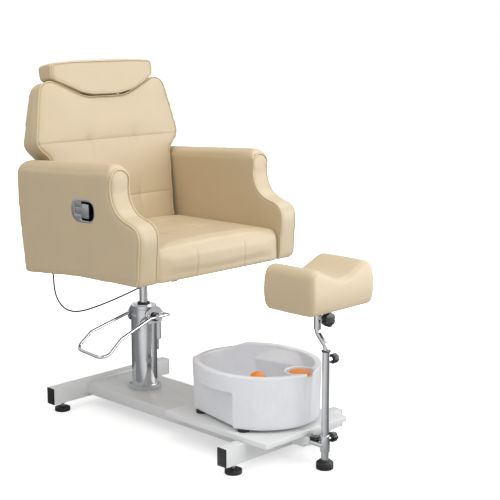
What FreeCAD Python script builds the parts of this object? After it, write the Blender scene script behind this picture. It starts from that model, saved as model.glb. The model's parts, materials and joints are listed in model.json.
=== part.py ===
import FreeCAD, Part
import math
import os
import re
import Sketcher

Vector = FreeCAD.Vector
doc = FreeCAD.newDocument("PedicureSpaChair")

# Driving sizes in millimetres and degrees. A reach is measured level from the lift column,
# forwards in front of it and backwards behind it. A rise or drop is measured from what carries
# the piece, and a side from the middle of the seat.
SIZES = [
    ("column_place", 291.1),
    ("fit_clearance", 0.05),
    ("running_clearance", 0.03),
    # Welded base
    ("tube_length", 496),
    ("tube_width", 36),
    ("tube_height", 54),
    ("tube_bottom", 30),
    ("tube_wall", 2),
    ("cap_flange", 2),
    ("cap_plug", 12),
    ("rear_tube_reach", 178),
    ("front_tube_reach", 614),
    ("channel_width", 222),
    ("channel_height", 36),
    ("channel_rise", 10),
    ("channel_sheet", 4),
    ("bar_slot_width", 44),
    ("bar_slot_rear_reach", 420),
    ("foot_spread", 202),
    ("foot_radius", 25),
    ("foot_height", 15),
    ("foot_step", 3),
    ("stud_radius", 5),
    ("stud_seat", 9.95),
    ("stud_reach", 16),
    ("foot_nut_radius", 10),
    ("foot_nut_height", 6),
    # Tray board
    ("tray_width", 346),
    ("tray_rear_reach", 294),
    ("tray_front_reach", 713),
    ("tray_thickness", 16),
    ("tray_sheet", 2),
    ("support_length", 60),
    ("support_width", 20),
    ("support_offset", 75),
    ("rear_support_inset", 31),
    ("front_support_setback", 41),
    # Lift pump
    ("flange_radius", 52.5),
    ("flange_thickness", 10),
    ("pump_bolt_circle", 47),
    ("pump_bolt_radius", 2.5),
    ("pump_bolt_head_radius", 4.5),
    ("pump_bolt_head", 4),
    ("pump_bolt_nut", 5),
    ("pump_bolt_tail", 8),
    ("casing_radius", 41.3),
    ("casing_wall", 2.5),
    ("casing_height", 264),
    ("barrel_radius", 30),
    ("piston_head_radius", 24),
    ("piston_head_rise", 94),
    ("piston_head_height", 20),
    ("piston_radius", 13.4),
    ("piston_exposed", 114),
    ("gland_plug", 14),
    ("gland_lip_radius", 30),
    ("gland_lip", 4),
    ("seal_radius", 20),
    ("seal_height", 4),
    ("seal_gap", 0.02),
    # Foot lever and its plunger
    ("lever_axis_side", 6),
    ("lever_axis_drop", 34),
    ("lever_rod_radius", 5),
    ("lever_half_width", 55),
    ("lever_neck_side", 20),
    ("lever_neck_drop", 1),
    ("lever_elbow_side", 140),
    ("lever_elbow_drop", 45),
    ("pedal_heel_side", 188),
    ("pedal_heel_drop", 85),
    ("pedal_side", 222),
    ("pedal_drop", 91),
    ("pedal_skew", 9),
    ("pedal_lift", 13),
    ("far_elbow_side", 172),
    ("far_elbow_drop", 35),
    ("lever_eye_radius", 9),
    ("lever_eye_width", 10),
    ("lever_hub_radius", 15),
    ("lever_hub_width", 6),
    ("lever_hub_setback", 7),
    ("lever_bend_radius", 22),
    ("ear_radius", 35),
    ("ear_thickness", 6),
    ("ear_flat_drop", 21),
    ("ear_gap", 0.7),
    ("trunnion_radius", 5),
    ("plunger_side", 56),
    ("plunger_radius", 6),
    ("plunger_length", 120),
    ("plunger_gap", 0.8),
    ("plunger_housing_radius", 13),
    ("plunger_housing_drop", 22),
    ("plunger_housing_height", 68),
    ("housing_bridge_inset", 4),
    # Seat socket, plate and board
    ("socket_radius", 26),
    ("socket_grip", 32),
    ("socket_end_gap", 3),
    ("socket_head", 26),
    ("socket_flange_radius", 70),
    ("socket_flange", 6),
    ("seat_plate_width", 260),
    ("seat_plate_thickness", 6),
    ("seat_bolt_circle", 50),
    ("seat_bolt_radius", 4),
    ("seat_bolt_head_radius", 7),
    ("seat_bolt_head", 6),
    ("seat_bolt_bite", 10),
    ("seat_board_width", 484),
    ("seat_board_thickness", 15),
    ("seat_board_front_reach", 345),
    ("seat_board_rear_reach", 84),
    # Seat cushion
    ("seat_half_width", 251.4),
    ("seat_front_reach", 361.6),
    ("seat_rear_reach", 92.9),
    ("seat_clearance", 0.3),
    ("seat_thickness", 103),
    ("seat_crown", 9),
    ("seat_side_draw", 5),
    ("seat_edge_radius", 6),
    ("seat_nose_radius", 28),
    ("seat_nose_fall", 2),
    ("seat_rear_radius", 16),
    ("seat_rear_fall", 6),
    ("tuft_offset", 92),
    ("front_tuft_reach", 184),
    ("rear_tuft_reach", 8),
    ("tuft_radius", 16),
    ("tuft_depth", 7),
    # Arms
    ("arm_inner_face", 252),
    ("arm_thickness", 73.3),
    ("arm_front_reach", 361),
    ("arm_front_radius", 5),
    ("arm_nose_reach", 374),
    ("arm_shoulder_rise", 168),
    ("arm_shoulder_radius", 46),
    ("arm_neck_reach", 243),
    ("arm_neck_rise", 207),
    ("arm_neck_radius", 80),
    ("arm_upright_reach", 250),
    ("arm_crest_rise", 341.5),
    ("arm_crest_radius", 36),
    ("arm_rear_reach", 213),
    ("arm_rear_fall", 24.9),
    ("arm_rear_radius", 36),
    ("arm_waist_inset", 4),
    ("arm_waist_rise", 155),
    ("arm_waist_radius", 500),
    ("arm_heel_reach", 184),
    ("arm_heel_drop", 30.5),
    ("arm_heel_radius", 18),
    ("arm_sag_reach", 72),
    ("arm_sag", 8.5),
    ("arm_sag_radius", 1500),
    ("arm_frame_thickness", 10),
    ("arm_frame_offset", 32),
    ("arm_tab_thickness", 6),
    ("arm_tab_inner", 212),
    ("arm_tab_front_reach", 100),
    ("arm_tab_rear_reach", 60),
    ("arm_riser", 40),
    # Recline handle in the right arm
    ("bezel_length", 114),
    ("bezel_height", 73),
    ("bezel_thickness", 2.5),
    ("bezel_proud", 1.5),
    ("bezel_reach", 120.6),
    ("bezel_drop", 146.5),
    ("bezel_corner", 33),
    ("recess_length", 59),
    ("recess_height", 56),
    ("recess_rear_reach", 111.6),
    ("recess_corner", 22),
    ("stem_slot_length", 29),
    ("stem_slot_height", 22),
    ("cup_wall", 2),
    ("cup_depth", 24),
    ("cup_corner", 18),
    ("paddle_inset", 0.5),
    ("paddle_thickness", 5),
    ("paddle_length", 33),
    ("paddle_height", 42),
    ("paddle_corner", 4),
    ("paddle_stem_height", 20),
    ("paddle_gap", 2),
    ("paddle_pin_radius", 1.5),
    ("paddle_pin_inset", 5),
    # Recline cable and lock
    ("cable_radius", 2.5),
    ("cable_exit_side", 290),
    ("cable_exit_reach", 84.4),
    ("cable_heading", 58),
    ("gland_radius", 4.5),
    ("gland_length", 14),
    ("gland_depth", 20),
    ("lock_side", 91),
    ("lock_drop", 14),
    ("lock_tube_radius", 11),
    ("lock_bore_radius", 8.5),
    ("lock_tube_front_reach", 200),
    ("lock_tube_rear_reach", 10),
    ("lock_tube_front_wall", 6),
    ("lock_tube_rear_wall", 8),
    ("lock_head_length", 55),
    ("lock_head_width", 20),
    ("lock_head_drop", 11),
    ("lock_hanger_width", 18),
    ("lock_hanger_length", 20),
    ("lock_hanger_reach", 45),
    ("lock_rod_radius", 5),
    ("lock_rod_front_reach", 60),
    ("lock_eye_radius", 11),
    ("lock_eye_width", 8),
    ("lock_eye_hole", 4),
    ("lock_side_gap", 1.5),
    ("lock_arm_radius", 10),
    ("lock_notch", 34),
    ("lock_notch_reach", 44),
    ("lock_notch_rise", 20),
    # Back and its hinge
    ("back_lean", 9.5),
    ("back_gap", 8.5),
    ("back_sink", 13),
    ("back_base_half", 226),
    ("back_base_drop", 25),
    ("back_waist_half", 246.6),
    ("back_waist_rise", 230.5),
    ("back_wing_half", 293),
    ("back_wing_rise", 277),
    ("back_shoulder_half", 249.2),
    ("back_shoulder_rise", 476),
    ("back_scoop_half", 195),
    ("back_scoop_rise", 469),
    ("back_dip_half", 80),
    ("back_dip_rise", 418.5),
    ("back_depth", 160),
    ("back_rear_reach", 235),
    ("back_heel_drop", 120),
    ("back_heel_inset", 38),
    ("back_elbow_inset", 9),
    ("back_elbow_rise", 235),
    ("back_upright_rise", 400),
    ("back_crown", 10),
    ("back_crown_middle", 230),
    ("back_seam_radius", 5),
    ("back_tuft_lift", 9),
    ("upper_seam", 281),
    ("lower_seam", 91),
    ("back_board_half_width", 195),
    ("back_board_low", 40),
    ("back_board_high", 395),
    ("back_board_depth", 44),
    ("back_board_thickness", 12),
    ("back_board_corner", 20),
    ("hinge_setback", 22.5),
    ("hinge_rise", 51),
    ("hinge_plate_inner", 196),
    ("hinge_plate_thickness", 6),
    ("hinge_plate_gap", 1),
    ("hinge_plate_radius", 13),
    ("hinge_plate_run", 130),
    ("hinge_plate_lap", 20),
    ("hinge_strip_width", 22),
    ("hinge_leg_lap", 6),
    ("hinge_pin_radius", 5),
    ("hinge_pin_end", 3),
    ("seat_hinge_gap", 0.8),
    ("seat_hinge_foot", 24),
    ("seat_hinge_foot_length", 80),
    # Headrest
    ("headrest_post_offset", 70),
    ("headrest_post_radius", 6),
    ("headrest_post_depth", 35),
    ("headrest_post_low", 310),
    ("headrest_post_high", 500),
    ("headrest_post_room", 0.5),
    ("guide_width", 18),
    ("guide_low", 300),
    ("guide_high", 400),
    ("pillow_half_width", 208),
    ("pillow_low", 421),
    ("pillow_high", 533),
    ("pillow_front", 14),
    ("pillow_rear", 69.5),
    # Leg rest column on its sliding bar
    ("post_side", 5),
    ("post_reach", 774.1),
    ("post_radius", 10.6),
    ("post_wall", 1.2),
    ("post_bottom", 26),
    ("post_length", 317),
    ("post_foot_radius", 25),
    ("post_foot_step", 6),
    ("post_foot_plug", 30),
    ("bar_width", 30),
    ("bar_thickness", 12),
    ("bar_rear_reach", 459.6),
    ("slide_clearance", 0.1),
    ("receiver_width", 40),
    ("receiver_height", 30),
    ("receiver_web", 12),
    ("receiver_front_reach", 709.6),
    ("receiver_rear_reach", 539.6),
    ("receiver_lug", 3.5),
    ("receiver_lug_length", 21),
    ("receiver_lug_rise", 8),
    ("receiver_lug_height", 24),
    ("clamp_radius", 13.5),
    ("clamp_skirt", 14),
    ("clamp_height", 48),
    ("clamp_knob_drop", 13),
    ("clamp_boss_radius", 8),
    ("clamp_boss_length", 8),
    ("bar_lever_offset", 15),
    ("bar_lever_drop", 1.8),
    ("bar_lever_width", 26),
    ("bar_lever_length", 24),
    ("bar_lever_pin_radius", 1.5),
    ("bush_flange_radius", 13),
    ("bush_flange", 3),
    ("bush_flange_gap", 0.3),
    ("bush_depth", 15),
    ("leg_tube_radius", 8.25),
    ("leg_tube_wall", 1.5),
    ("leg_tube_insert", 163),
    ("leg_tube_offset", 32.5),
    ("leg_tube_bend_radius", 22),
    ("crook_height", 60),
    ("crook_rise", 15),
    ("crook_drop", 10),
    ("height_knob_drop", 26),
    ("height_boss_length", 9),
    ("sleeve_radius", 10.8),
    ("sleeve_length", 71),
    ("sleeve_cap", 6),
    ("leg_plate_length", 110),
    ("leg_plate_width", 150),
    ("leg_plate_thickness", 4),
    ("leg_board_length", 150),
    ("leg_board_width", 200),
    ("leg_board_thickness", 12),
    ("swivel_knob_drop", 37),
    ("swivel_boss_radius", 7.5),
    ("swivel_boss_length", 16),
    ("knob_radius", 14),
    ("swivel_knob_radius", 20.5),
    ("clamp_knob_thickness", 16),
    ("height_knob_thickness", 18),
    ("swivel_knob_thickness", 17),
    ("knob_stem_radius", 4),
    ("knob_end_gap", 0.3),
    ("leg_cushion_width", 252),
    ("leg_cushion_length", 176),
    ("leg_cushion_forward", 4),
    ("leg_cushion_seat", -4),
    ("leg_cushion_height", 126),
    ("leg_cushion_dip", 33),
    # Foot basin
    ("basin_side", 5),
    ("basin_reach", 504.4),
    ("basin_half_width", 180),
    ("basin_half_length", 200.5),
    ("basin_foot_height", 9),
    ("basin_rim_height", 156),
    ("basin_rim_rise", -2),
    ("basin_wall", 18),
    ("basin_base", 26),
    ("basin_lip_rise", 106),
    ("basin_lip_wall", 8),
    ("bowl_front_half", 181),
    ("bowl_rear_half", 134),
    ("bowl_low_front_half", 172),
    ("bowl_low_rear_half", 98),
    ("panel_front_half", 155),
    ("panel_front_offset", 64),
    ("panel_rear_half", 115),
    ("panel_rear_offset", 152),
    ("divider_width", 28),
    ("divider_rise", 73),
    ("divider_end_wall", 3),
    ("dome_radius", 26),
    ("dome_offset", -4),
    ("dome_height", 22),
    ("dome_gap", 0.3),
    ("dome_peg_length", 11),
    ("dial_side", 20),
    ("dial_offset", 158),
    ("dial_radius", 30),
    ("dial_gap", 0.4),
    ("dial_boss_radius", 46),
    ("dial_boss_drop", 2),
    ("dial_pocket_radius", 38.5),
    ("dial_pocket_drop", 14),
    ("dial_thickness", 8),
    ("dial_tab_width", 9),
    ("dial_tab_length", 8),
    ("dial_shaft_radius", 4),
    ("dial_shaft_length", 16),
    ("flute_side", 20),
    ("flute_radius", 13),
    ("flute_setback", 4),
    ("basin_foot_radius", 17),
    ("basin_front_foot_half", 140),
    ("basin_front_foot_offset", 84),
    ("basin_rear_foot_half", 108),
    ("basin_rear_foot_offset", 124),
]

# Places that follow from the sizes.
PLACES = [
    ("tube_top", "tube_bottom + tube_height"),
    ("rear_tube_y", "column_place + rear_tube_reach"),
    ("front_tube_y", "column_place - front_tube_reach"),
    ("channel_low", "tube_bottom + channel_rise"),
    ("channel_top", "channel_low + channel_height"),
    ("channel_front_y", "front_tube_y + tube_width / 2"),
    ("channel_rear_y", "rear_tube_y - tube_width / 2"),
    ("tray_top", "tube_top + tray_thickness"),
    ("tray_front_y", "column_place - tray_front_reach"),
    ("tray_rear_y", "column_place - tray_rear_reach"),
    ("rear_support_y", "tray_rear_y - rear_support_inset"),
    ("front_support_y", "channel_front_y + front_support_setback"),
    ("flange_top", "channel_top + flange_thickness"),
    ("casing_top", "flange_top + casing_height"),
    ("barrel_top", "casing_top - gland_plug"),
    ("seal_bottom", "casing_top + gland_lip"),
    ("gland_bore", "piston_radius + running_clearance"),
    ("piston_head_bottom", "flange_top + piston_head_rise"),
    ("piston_top", "seal_bottom + seal_height + piston_exposed"),
    ("lever_axis_height", "casing_top - lever_axis_drop"),
    ("plunger_top", "lever_axis_height - lever_rod_radius - plunger_gap"),
    ("plunger_housing_top", "lever_axis_height - plunger_housing_drop"),
    ("plunger_housing_bottom", "plunger_housing_top - plunger_housing_height"),
    ("hub_inner_y", "lever_half_width - lever_hub_setback"),
    ("ear_inner_y", "hub_inner_y - ear_gap - ear_thickness"),
    ("socket_bottom", "piston_top - socket_grip"),
    ("socket_bore_top", "piston_top + socket_end_gap"),
    ("socket_top", "piston_top + socket_head"),
    ("seat_plate_bottom", "socket_top + socket_flange"),
    ("seat_plate_top", "seat_plate_bottom + seat_plate_thickness"),
    ("seat_underside", "seat_plate_top + seat_clearance"),
    ("seat_board_length", "seat_board_front_reach + seat_board_rear_reach"),
    ("seat_board_y", "column_place + (seat_board_rear_reach - seat_board_front_reach) / 2"),
    ("seat_crest", "seat_plate_top + seat_thickness"),
    ("seat_rear_y", "column_place + seat_rear_reach"),
    ("arm_outer_face", "arm_inner_face + arm_thickness"),
    ("arm_shoulder_height", "seat_plate_top + arm_shoulder_rise"),
    ("arm_neck_height", "seat_plate_top + arm_neck_rise"),
    ("arm_crest", "seat_plate_top + arm_crest_rise"),
    ("arm_rear_crest", "arm_crest - arm_rear_fall"),
    ("arm_waist_height", "seat_plate_top + arm_waist_rise"),
    ("arm_heel_height", "seat_plate_top - arm_heel_drop"),
    ("bezel_centre_height", "arm_crest - bezel_drop"),
    ("lock_height", "seat_plate_bottom - lock_drop"),
    ("lock_head_bottom", "lock_height - lock_head_drop"),
    ("back_foot_y", "seat_rear_y + back_gap"),
    ("back_foot_height", "seat_crest - back_sink"),
    ("hinge_y", "seat_rear_y + hinge_setback"),
    ("hinge_height", "seat_plate_bottom + hinge_rise"),
    ("seat_hinge_inner", "hinge_plate_inner + hinge_plate_thickness + hinge_plate_gap"),
    ("post_y", "column_place - post_reach"),
    ("post_top", "post_bottom + post_length"),
    ("bar_bottom", "channel_top - bar_thickness"),
    ("bar_rear_y", "column_place - bar_rear_reach"),
    ("receiver_bottom", "bar_bottom - receiver_web"),
    ("receiver_front_y", "column_place - receiver_front_reach"),
    ("receiver_rear_y", "column_place - receiver_rear_reach"),
    ("bar_lever_y", "receiver_front_y - bar_lever_offset"),
    ("bar_lever_height", "receiver_bottom + receiver_height - bar_lever_drop"),
    ("clamp_bottom", "bar_bottom - clamp_skirt"),
    ("clamp_top", "clamp_bottom + clamp_height"),
    ("clamp_knob_height", "clamp_top - clamp_knob_drop"),
    ("knob_bore", "knob_stem_radius + fit_clearance"),
    ("post_bore", "post_radius - post_wall"),
    ("bush_bore", "leg_tube_radius + running_clearance"),
    ("height_knob_height", "post_top - height_knob_drop"),
    ("leg_tube_bottom", "post_top - leg_tube_insert"),
    ("sleeve_y", "post_y + leg_tube_offset"),
    ("sleeve_bottom", "post_top + crook_height"),
    ("sleeve_top", "sleeve_bottom + sleeve_length"),
    ("leg_tube_top", "sleeve_top - sleeve_cap"),
    ("swivel_knob_height", "sleeve_top - swivel_knob_drop"),
    ("leg_board_bottom", "sleeve_top + leg_plate_thickness"),
    ("leg_cushion_bottom", "sleeve_top + leg_cushion_seat"),
    ("leg_cushion_corner", "leg_cushion_bottom + leg_cushion_height"),
    ("leg_cushion_valley", "leg_cushion_corner - leg_cushion_dip"),
    ("basin_y", "column_place - basin_reach"),
    ("basin_bottom", "tray_top + basin_foot_height"),
    ("basin_front_rim", "basin_bottom + basin_rim_height"),
    ("basin_rear_rim", "basin_front_rim + basin_rim_rise"),
    ("basin_floor", "basin_bottom + basin_base"),
    ("divider_top", "basin_floor + divider_rise"),
    ("dome_y", "basin_y + dome_offset"),
    ("dial_y", "basin_y - dial_offset"),
    ("dial_pocket_floor", "basin_front_rim - dial_pocket_drop"),
    ("dial_boss_top", "basin_front_rim - dial_boss_drop"),
]

sheet = doc.addObject("Spreadsheet::Sheet", "Sizes")
for row, (word, number) in enumerate(SIZES, start=1):
    sheet.set("A%d" % row, word)
    sheet.set("B%d" % row, str(number))
    sheet.setAlias("B%d" % row, word)
size_words = {word for word, number in SIZES}
place_words = dict(PLACES)


def formula(text):
    """Writes an expression on the sheet's cells from plain words."""

    def full(match):
        word = match.group(0)
        if word in size_words:
            return "Sizes." + word
        if word in place_words:
            return "(" + formula(place_words[word]) + ")"
        return word

    return re.sub(r"[a-z_]+[a-z0-9_]*", full, text)


places = doc.addObject("App::VarSet", "Places")
for word, text in PLACES:
    places.addProperty("App::PropertyFloat", word)
    places.setExpression(word, formula(text))
doc.recompute()


def size(word):
    """The number that a size or a place has now."""
    if word in size_words:
        return float(sheet.get(word))
    return getattr(places, word)


nodes = []


def node(item):
    """Marks a finished sub-part, which is written under its label."""
    nodes.append(item)
    return item


def hide_name(label):
    return label.replace(" ", "_")


def move_to(item, x, y, z):
    item.setExpression("Placement.Base.x", formula(x))
    item.setExpression("Placement.Base.y", formula(y))
    item.setExpression("Placement.Base.z", formula(z))


def box(label, wide, deep, high, x, y, z):
    """A box on a floor at z, centred on x and y."""
    item = doc.addObject("Part::Box", hide_name(label))
    item.Label = label
    item.setExpression("Length", formula(wide))
    item.setExpression("Width", formula(deep))
    item.setExpression("Height", formula(high))
    move_to(item, "(%s) - (%s) / 2" % (x, wide), "(%s) - (%s) / 2" % (y, deep), z)
    return item


TURNS = {
    "X": FreeCAD.Rotation(Vector(0, 1, 0), 90),
    "-X": FreeCAD.Rotation(Vector(0, 1, 0), -90),
    "Y": FreeCAD.Rotation(Vector(1, 0, 0), -90),
    "-Y": FreeCAD.Rotation(Vector(1, 0, 0), 90),
    "Z": FreeCAD.Rotation(),
}


def bar(label, radius, length, x, y, z, along="Z"):
    """A round bar that starts at a point and runs along an axis."""
    item = doc.addObject("Part::Cylinder", hide_name(label))
    item.Label = label
    item.setExpression("Radius", formula(radius))
    item.setExpression("Height", formula(length))
    item.Placement = FreeCAD.Placement(Vector(), TURNS[along])
    move_to(item, x, y, z)
    return item


def fuse(label, items):
    item = doc.addObject("Part::MultiFuse", hide_name(label))
    item.Label = label
    item.Shapes = items
    return item


def cut(label, base, tools):
    tool = tools[0]
    if len(tools) > 1:
        tool = fuse(label + " tools", tools)
    item = doc.addObject("Part::Cut", hide_name(label))
    item.Label = label
    item.Base = base
    item.Tool = tool
    return item


def group(label, items):
    """Like pieces that share a node and stay separate solids."""
    item = doc.addObject("Part::Compound", hide_name(label))
    item.Label = label
    item.Links = items
    return item


def feature(label, shape):
    item = doc.addObject("Part::Feature", label)
    item.Label = label
    item.Shape = shape
    return item


def origin_plane(body, role):
    return [part for part in body.Origin.OriginFeatures if part.Role == role][0]


def sketch_on(body, name, role):
    sketch = body.newObject("Sketcher::SketchObject", name)
    sketch.AttachmentSupport = [(origin_plane(body, role), "")]
    sketch.MapMode = "FlatFace"
    return sketch


def datum(sketch, kind, places_on, text, guess):
    number = sketch.addConstraint(Sketcher.Constraint(kind, *places_on, guess))
    sketch.setExpression("Constraints[%d]" % number, formula(text))


def draw_rectangle(sketch, wide, high, left, low):
    """Adds a rectangle bound to the sheet: its sides, left edge and lower edge."""
    first = sketch.GeometryCount
    corners = [(-10, 5), (10, 5), (10, 15), (-10, 15)]
    for number in range(4):
        start = Vector(*corners[number], 0)
        end = Vector(*corners[(number + 1) % 4], 0)
        sketch.addGeometry(Part.LineSegment(start, end), False)
    for number in range(4):
        after = first + (number + 1) % 4
        sketch.addConstraint(Sketcher.Constraint("Coincident", first + number, 2, after, 1))
    for number in (0, 2):
        sketch.addConstraint(Sketcher.Constraint("Horizontal", first + number))
        sketch.addConstraint(Sketcher.Constraint("Vertical", first + number + 1))
    datum(sketch, "DistanceX", (first, 1, first, 2), wide, 20.0)
    datum(sketch, "DistanceY", (first + 1, 1, first + 1, 2), high, 10.0)
    datum(sketch, "DistanceX", (-1, 1, first, 1), left, -10.0)
    datum(sketch, "DistanceY", (-1, 1, first, 1), low, 5.0)


def prism_body(label, rectangles, length, role="YZ_Plane"):
    """A body padded both ways from a plane; each rectangle is wide, high, left, low."""
    body = doc.addObject("PartDesign::Body", hide_name(label) + "_body")
    body.Label = label
    sketch = sketch_on(body, hide_name(label) + "_section", role)
    for rectangle in rectangles:
        draw_rectangle(sketch, *rectangle)
    pad = body.newObject("PartDesign::Pad", hide_name(label) + "_pad")
    pad.Profile = sketch
    pad.setExpression("Length", formula(length))
    pad.Midplane = True
    return body


def corner_points(corners):
    """Tangent points and middle of the arc at each rounded corner of an outline."""
    count = len(corners)
    found = []
    for number, (across, up, radius) in enumerate(corners):
        here = Vector(across, up, 0)
        before = Vector(*corners[number - 1][:2], 0)
        after = Vector(*corners[(number + 1) % count][:2], 0)
        inward = (here - before).normalize()
        onward = (after - here).normalize()
        turn = inward.getAngle(onward)
        if radius < 0.01 or turn < 0.001:
            found.append((here, None, here))
            continue
        reach = radius * math.tan(turn / 2)
        middle = (onward - inward).normalize() * (radius / math.cos(turn / 2) - radius)
        found.append((here - inward * reach, here + middle, here + onward * reach))
    return found


def rounded_wire(corners, place):
    """A closed wire with arcs at its corners; place puts a flat point in space."""
    found = corner_points(corners)
    edges = []
    for number, (start, middle, end) in enumerate(found):
        if middle is not None:
            arc = Part.Arc(place(start.x, start.y), place(middle.x, middle.y), place(end.x, end.y))
            edges.append(arc.toShape())
        following = found[(number + 1) % len(found)][0]
        if (following - end).Length > 0.001:
            line = Part.LineSegment(place(end.x, end.y), place(following.x, following.y))
            edges.append(line.toShape())
    return Part.Wire(edges)


def slab(corners, place, thickness):
    """A flat outline pulled through a thickness given as a vector."""
    return Part.Face(rounded_wire(corners, place)).extrude(thickness)


def rectangle(left, right, low, high, radius):
    return [(left, low, radius), (right, low, radius), (right, high, radius), (left, high, radius)]


def on_side(x):
    """Puts outline points on a plane across the object: first along y, then up."""
    return lambda y, z: Vector(x, y, z)


def on_level(z):
    return lambda x, y: Vector(x, y, z)


def round_bar(radius, start, end):
    run = end - start
    return Part.makeCylinder(radius, run.Length, start, run)


def link(first, second, radius, x, thickness):
    """A flat link with round ends between two points of a side plane."""
    along = (second - first).normalize()
    side = Vector(0, -along.z, along.y) * radius
    corners = [first + side, first - side, second - side, second + side]
    edges = [
        Part.Arc(corners[0], first - along * radius, corners[1]).toShape(),
        Part.LineSegment(corners[1], corners[2]).toShape(),
        Part.Arc(corners[2], second + along * radius, corners[3]).toShape(),
        Part.LineSegment(corners[3], corners[0]).toShape(),
    ]
    shape = Part.Face(Part.Wire(edges)).extrude(Vector(thickness, 0, 0))
    shape.translate(Vector(x, 0, 0))
    return shape


def bent_path(points, share=None, radius=None):
    """Straight runs joined by tangent arcs, and the radii of those arcs."""
    edges = []
    radii = []
    start = points[0]
    for number in range(1, len(points) - 1):
        here = points[number]
        inward = here - points[number - 1]
        onward = points[number + 1] - here
        turn = inward.getAngle(onward)
        if share is not None:
            reach = share * min(inward.Length, onward.Length)
            radii.append(reach / math.tan(turn / 2))
        else:
            reach = radius * math.tan(turn / 2)
            radii.append(radius)
        inward.normalize()
        onward.normalize()
        bend = radii[-1]
        first = here - inward * reach
        last = here + onward * reach
        middle = here + (onward - inward).normalize() * (bend / math.cos(turn / 2) - bend)
        edges.append(Part.LineSegment(start, first).toShape())
        edges.append(Part.Arc(first, middle, last).toShape())
        start = last
    edges.append(Part.LineSegment(start, points[-1]).toShape())
    return Part.Wire(edges), radii


def tube_along(path, radius):
    start = path.Vertexes[0].Point
    heading = path.Edges[0].tangentAt(path.Edges[0].FirstParameter)
    section = Part.Wire([Part.Circle(start, heading, radius).toShape()])
    return path.makePipeShell([section], True, False)


column = size("column_place")
FORE_AND_AFT = (-1, 1)

# Cross tubes: square-edged steel tube on four levelling feet, closed by push-in caps.
tube_inner_width = "tube_width - 2 * tube_wall"
tube_inner_height = "tube_height - 2 * tube_wall"
tube_run = "tube_length - 2 * cap_flange"
for label, tube_y in (("rear_cross_tube", "rear_tube_y"), ("front_cross_tube", "front_tube_y")):
    walls = [
        ("tube_width", "tube_height", tube_y + " - tube_width / 2", "tube_bottom"),
        (tube_inner_width, tube_inner_height, tube_y + " - (tube_width - 2 * tube_wall) / 2",
         "tube_bottom + tube_wall"),
    ]
    body = prism_body(label + " blank", walls, tube_run)
    holes = []
    for side in FORE_AND_AFT:
        holes.append(bar("%s stud hole %d" % (label, side), "stud_radius + fit_clearance", "3 * tube_wall",
                         "%d * foot_spread" % side, tube_y, "tube_bottom - tube_wall"))
    if label == "front_cross_tube":
        holes.append(box("bar window", "receiver_width", "2 * tube_width", "receiver_height",
                         "post_side", tube_y, "receiver_bottom"))
    node(cut(label, body, holes))

caps = []
for tube_y in ("rear_tube_y", "front_tube_y"):
    for side in FORE_AND_AFT:
        name = "cap %s %d" % (tube_y[:5], side)
        face = "%d * (tube_length / 2 - cap_flange / 2)" % side
        plug = "%d * (tube_length / 2 - cap_flange - cap_plug / 2)" % side
        flange = box(name + " flange", "cap_flange", "tube_width", "tube_height",
                     face, tube_y, "tube_bottom")
        inside = box(name + " plug", "cap_plug", tube_inner_width + " - 4 * fit_clearance",
                     tube_inner_height + " - 4 * fit_clearance", plug, tube_y,
                     "tube_bottom + tube_wall + 2 * fit_clearance")
        caps.append(fuse(name, [flange, inside]))
node(group("tube_end_caps", caps))

# Levelling feet: rubber pads on threaded studs with lock nuts under the tubes.
pads = []
studs = []
for tube_y in ("rear_tube_y", "front_tube_y"):
    for side in FORE_AND_AFT:
        name = "foot %s %d" % (tube_y[:5], side)
        foot_x = "%d * foot_spread" % side
        base = bar(name + " base", "foot_radius", "foot_height - foot_step", foot_x, tube_y, "0")
        neck = bar(name + " neck", "foot_radius * 0.6", "foot_height", foot_x, tube_y, "0")
        seat = bar(name + " seat", "stud_radius + fit_clearance", "foot_height", foot_x, tube_y,
                   "foot_height - stud_seat")
        pads.append(cut(name + " pad", fuse(name + " blank", [base, neck]), [seat]))
        shank = bar(name + " shank", "stud_radius", "tube_bottom + stud_reach - foot_height + stud_seat",
                    foot_x, tube_y, "foot_height - stud_seat")
        nut = doc.addObject("Part::Prism", hide_name(name) + "_nut")
        nut.Polygon = 6
        nut.setExpression("Circumradius", formula("foot_nut_radius"))
        nut.setExpression("Height", formula("foot_nut_height"))
        move_to(nut, foot_x, tube_y, "tube_bottom - foot_nut_height")
        studs.append(fuse(name + " stud", [shank, nut]))
node(group("foot_pads", pads))
node(group("foot_studs", studs))

# Channel between the tubes, open below, with a slot for the leg rest bar.
channel_run = "channel_rear_y - channel_front_y"
channel_y = "(channel_rear_y + channel_front_y) / 2"
channel = box("channel blank", "channel_width", channel_run, "channel_height",
              "0", channel_y, "channel_low")
inside = box("channel inside", "channel_width - 2 * channel_sheet", channel_run,
             "channel_height - channel_sheet", "0", channel_y, "channel_low")
slot = box("channel slot", "bar_slot_width", "column_place - bar_slot_rear_reach - channel_front_y",
           "2 * channel_sheet", "post_side",
           "(column_place - bar_slot_rear_reach + channel_front_y) / 2",
           "channel_top - 1.5 * channel_sheet")
bolt_turns = (45, 135, 225, 315)
bolt_holes = []
for turn in bolt_turns:
    across = math.cos(math.radians(turn))
    along = math.sin(math.radians(turn))
    bolt_x = "%.6f * pump_bolt_circle" % across
    bolt_y = "column_place + %.6f * pump_bolt_circle" % along
    bolt_holes.append((turn, bolt_x, bolt_y))
channel_holes = [bar("channel hole %d" % turn, "pump_bolt_radius + fit_clearance", "2 * channel_sheet",
                     bolt_x, bolt_y, "channel_top - 1.5 * channel_sheet")
                 for turn, bolt_x, bolt_y in bolt_holes]
node(cut("centre_channel", channel, [inside, slot] + channel_holes))

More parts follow.
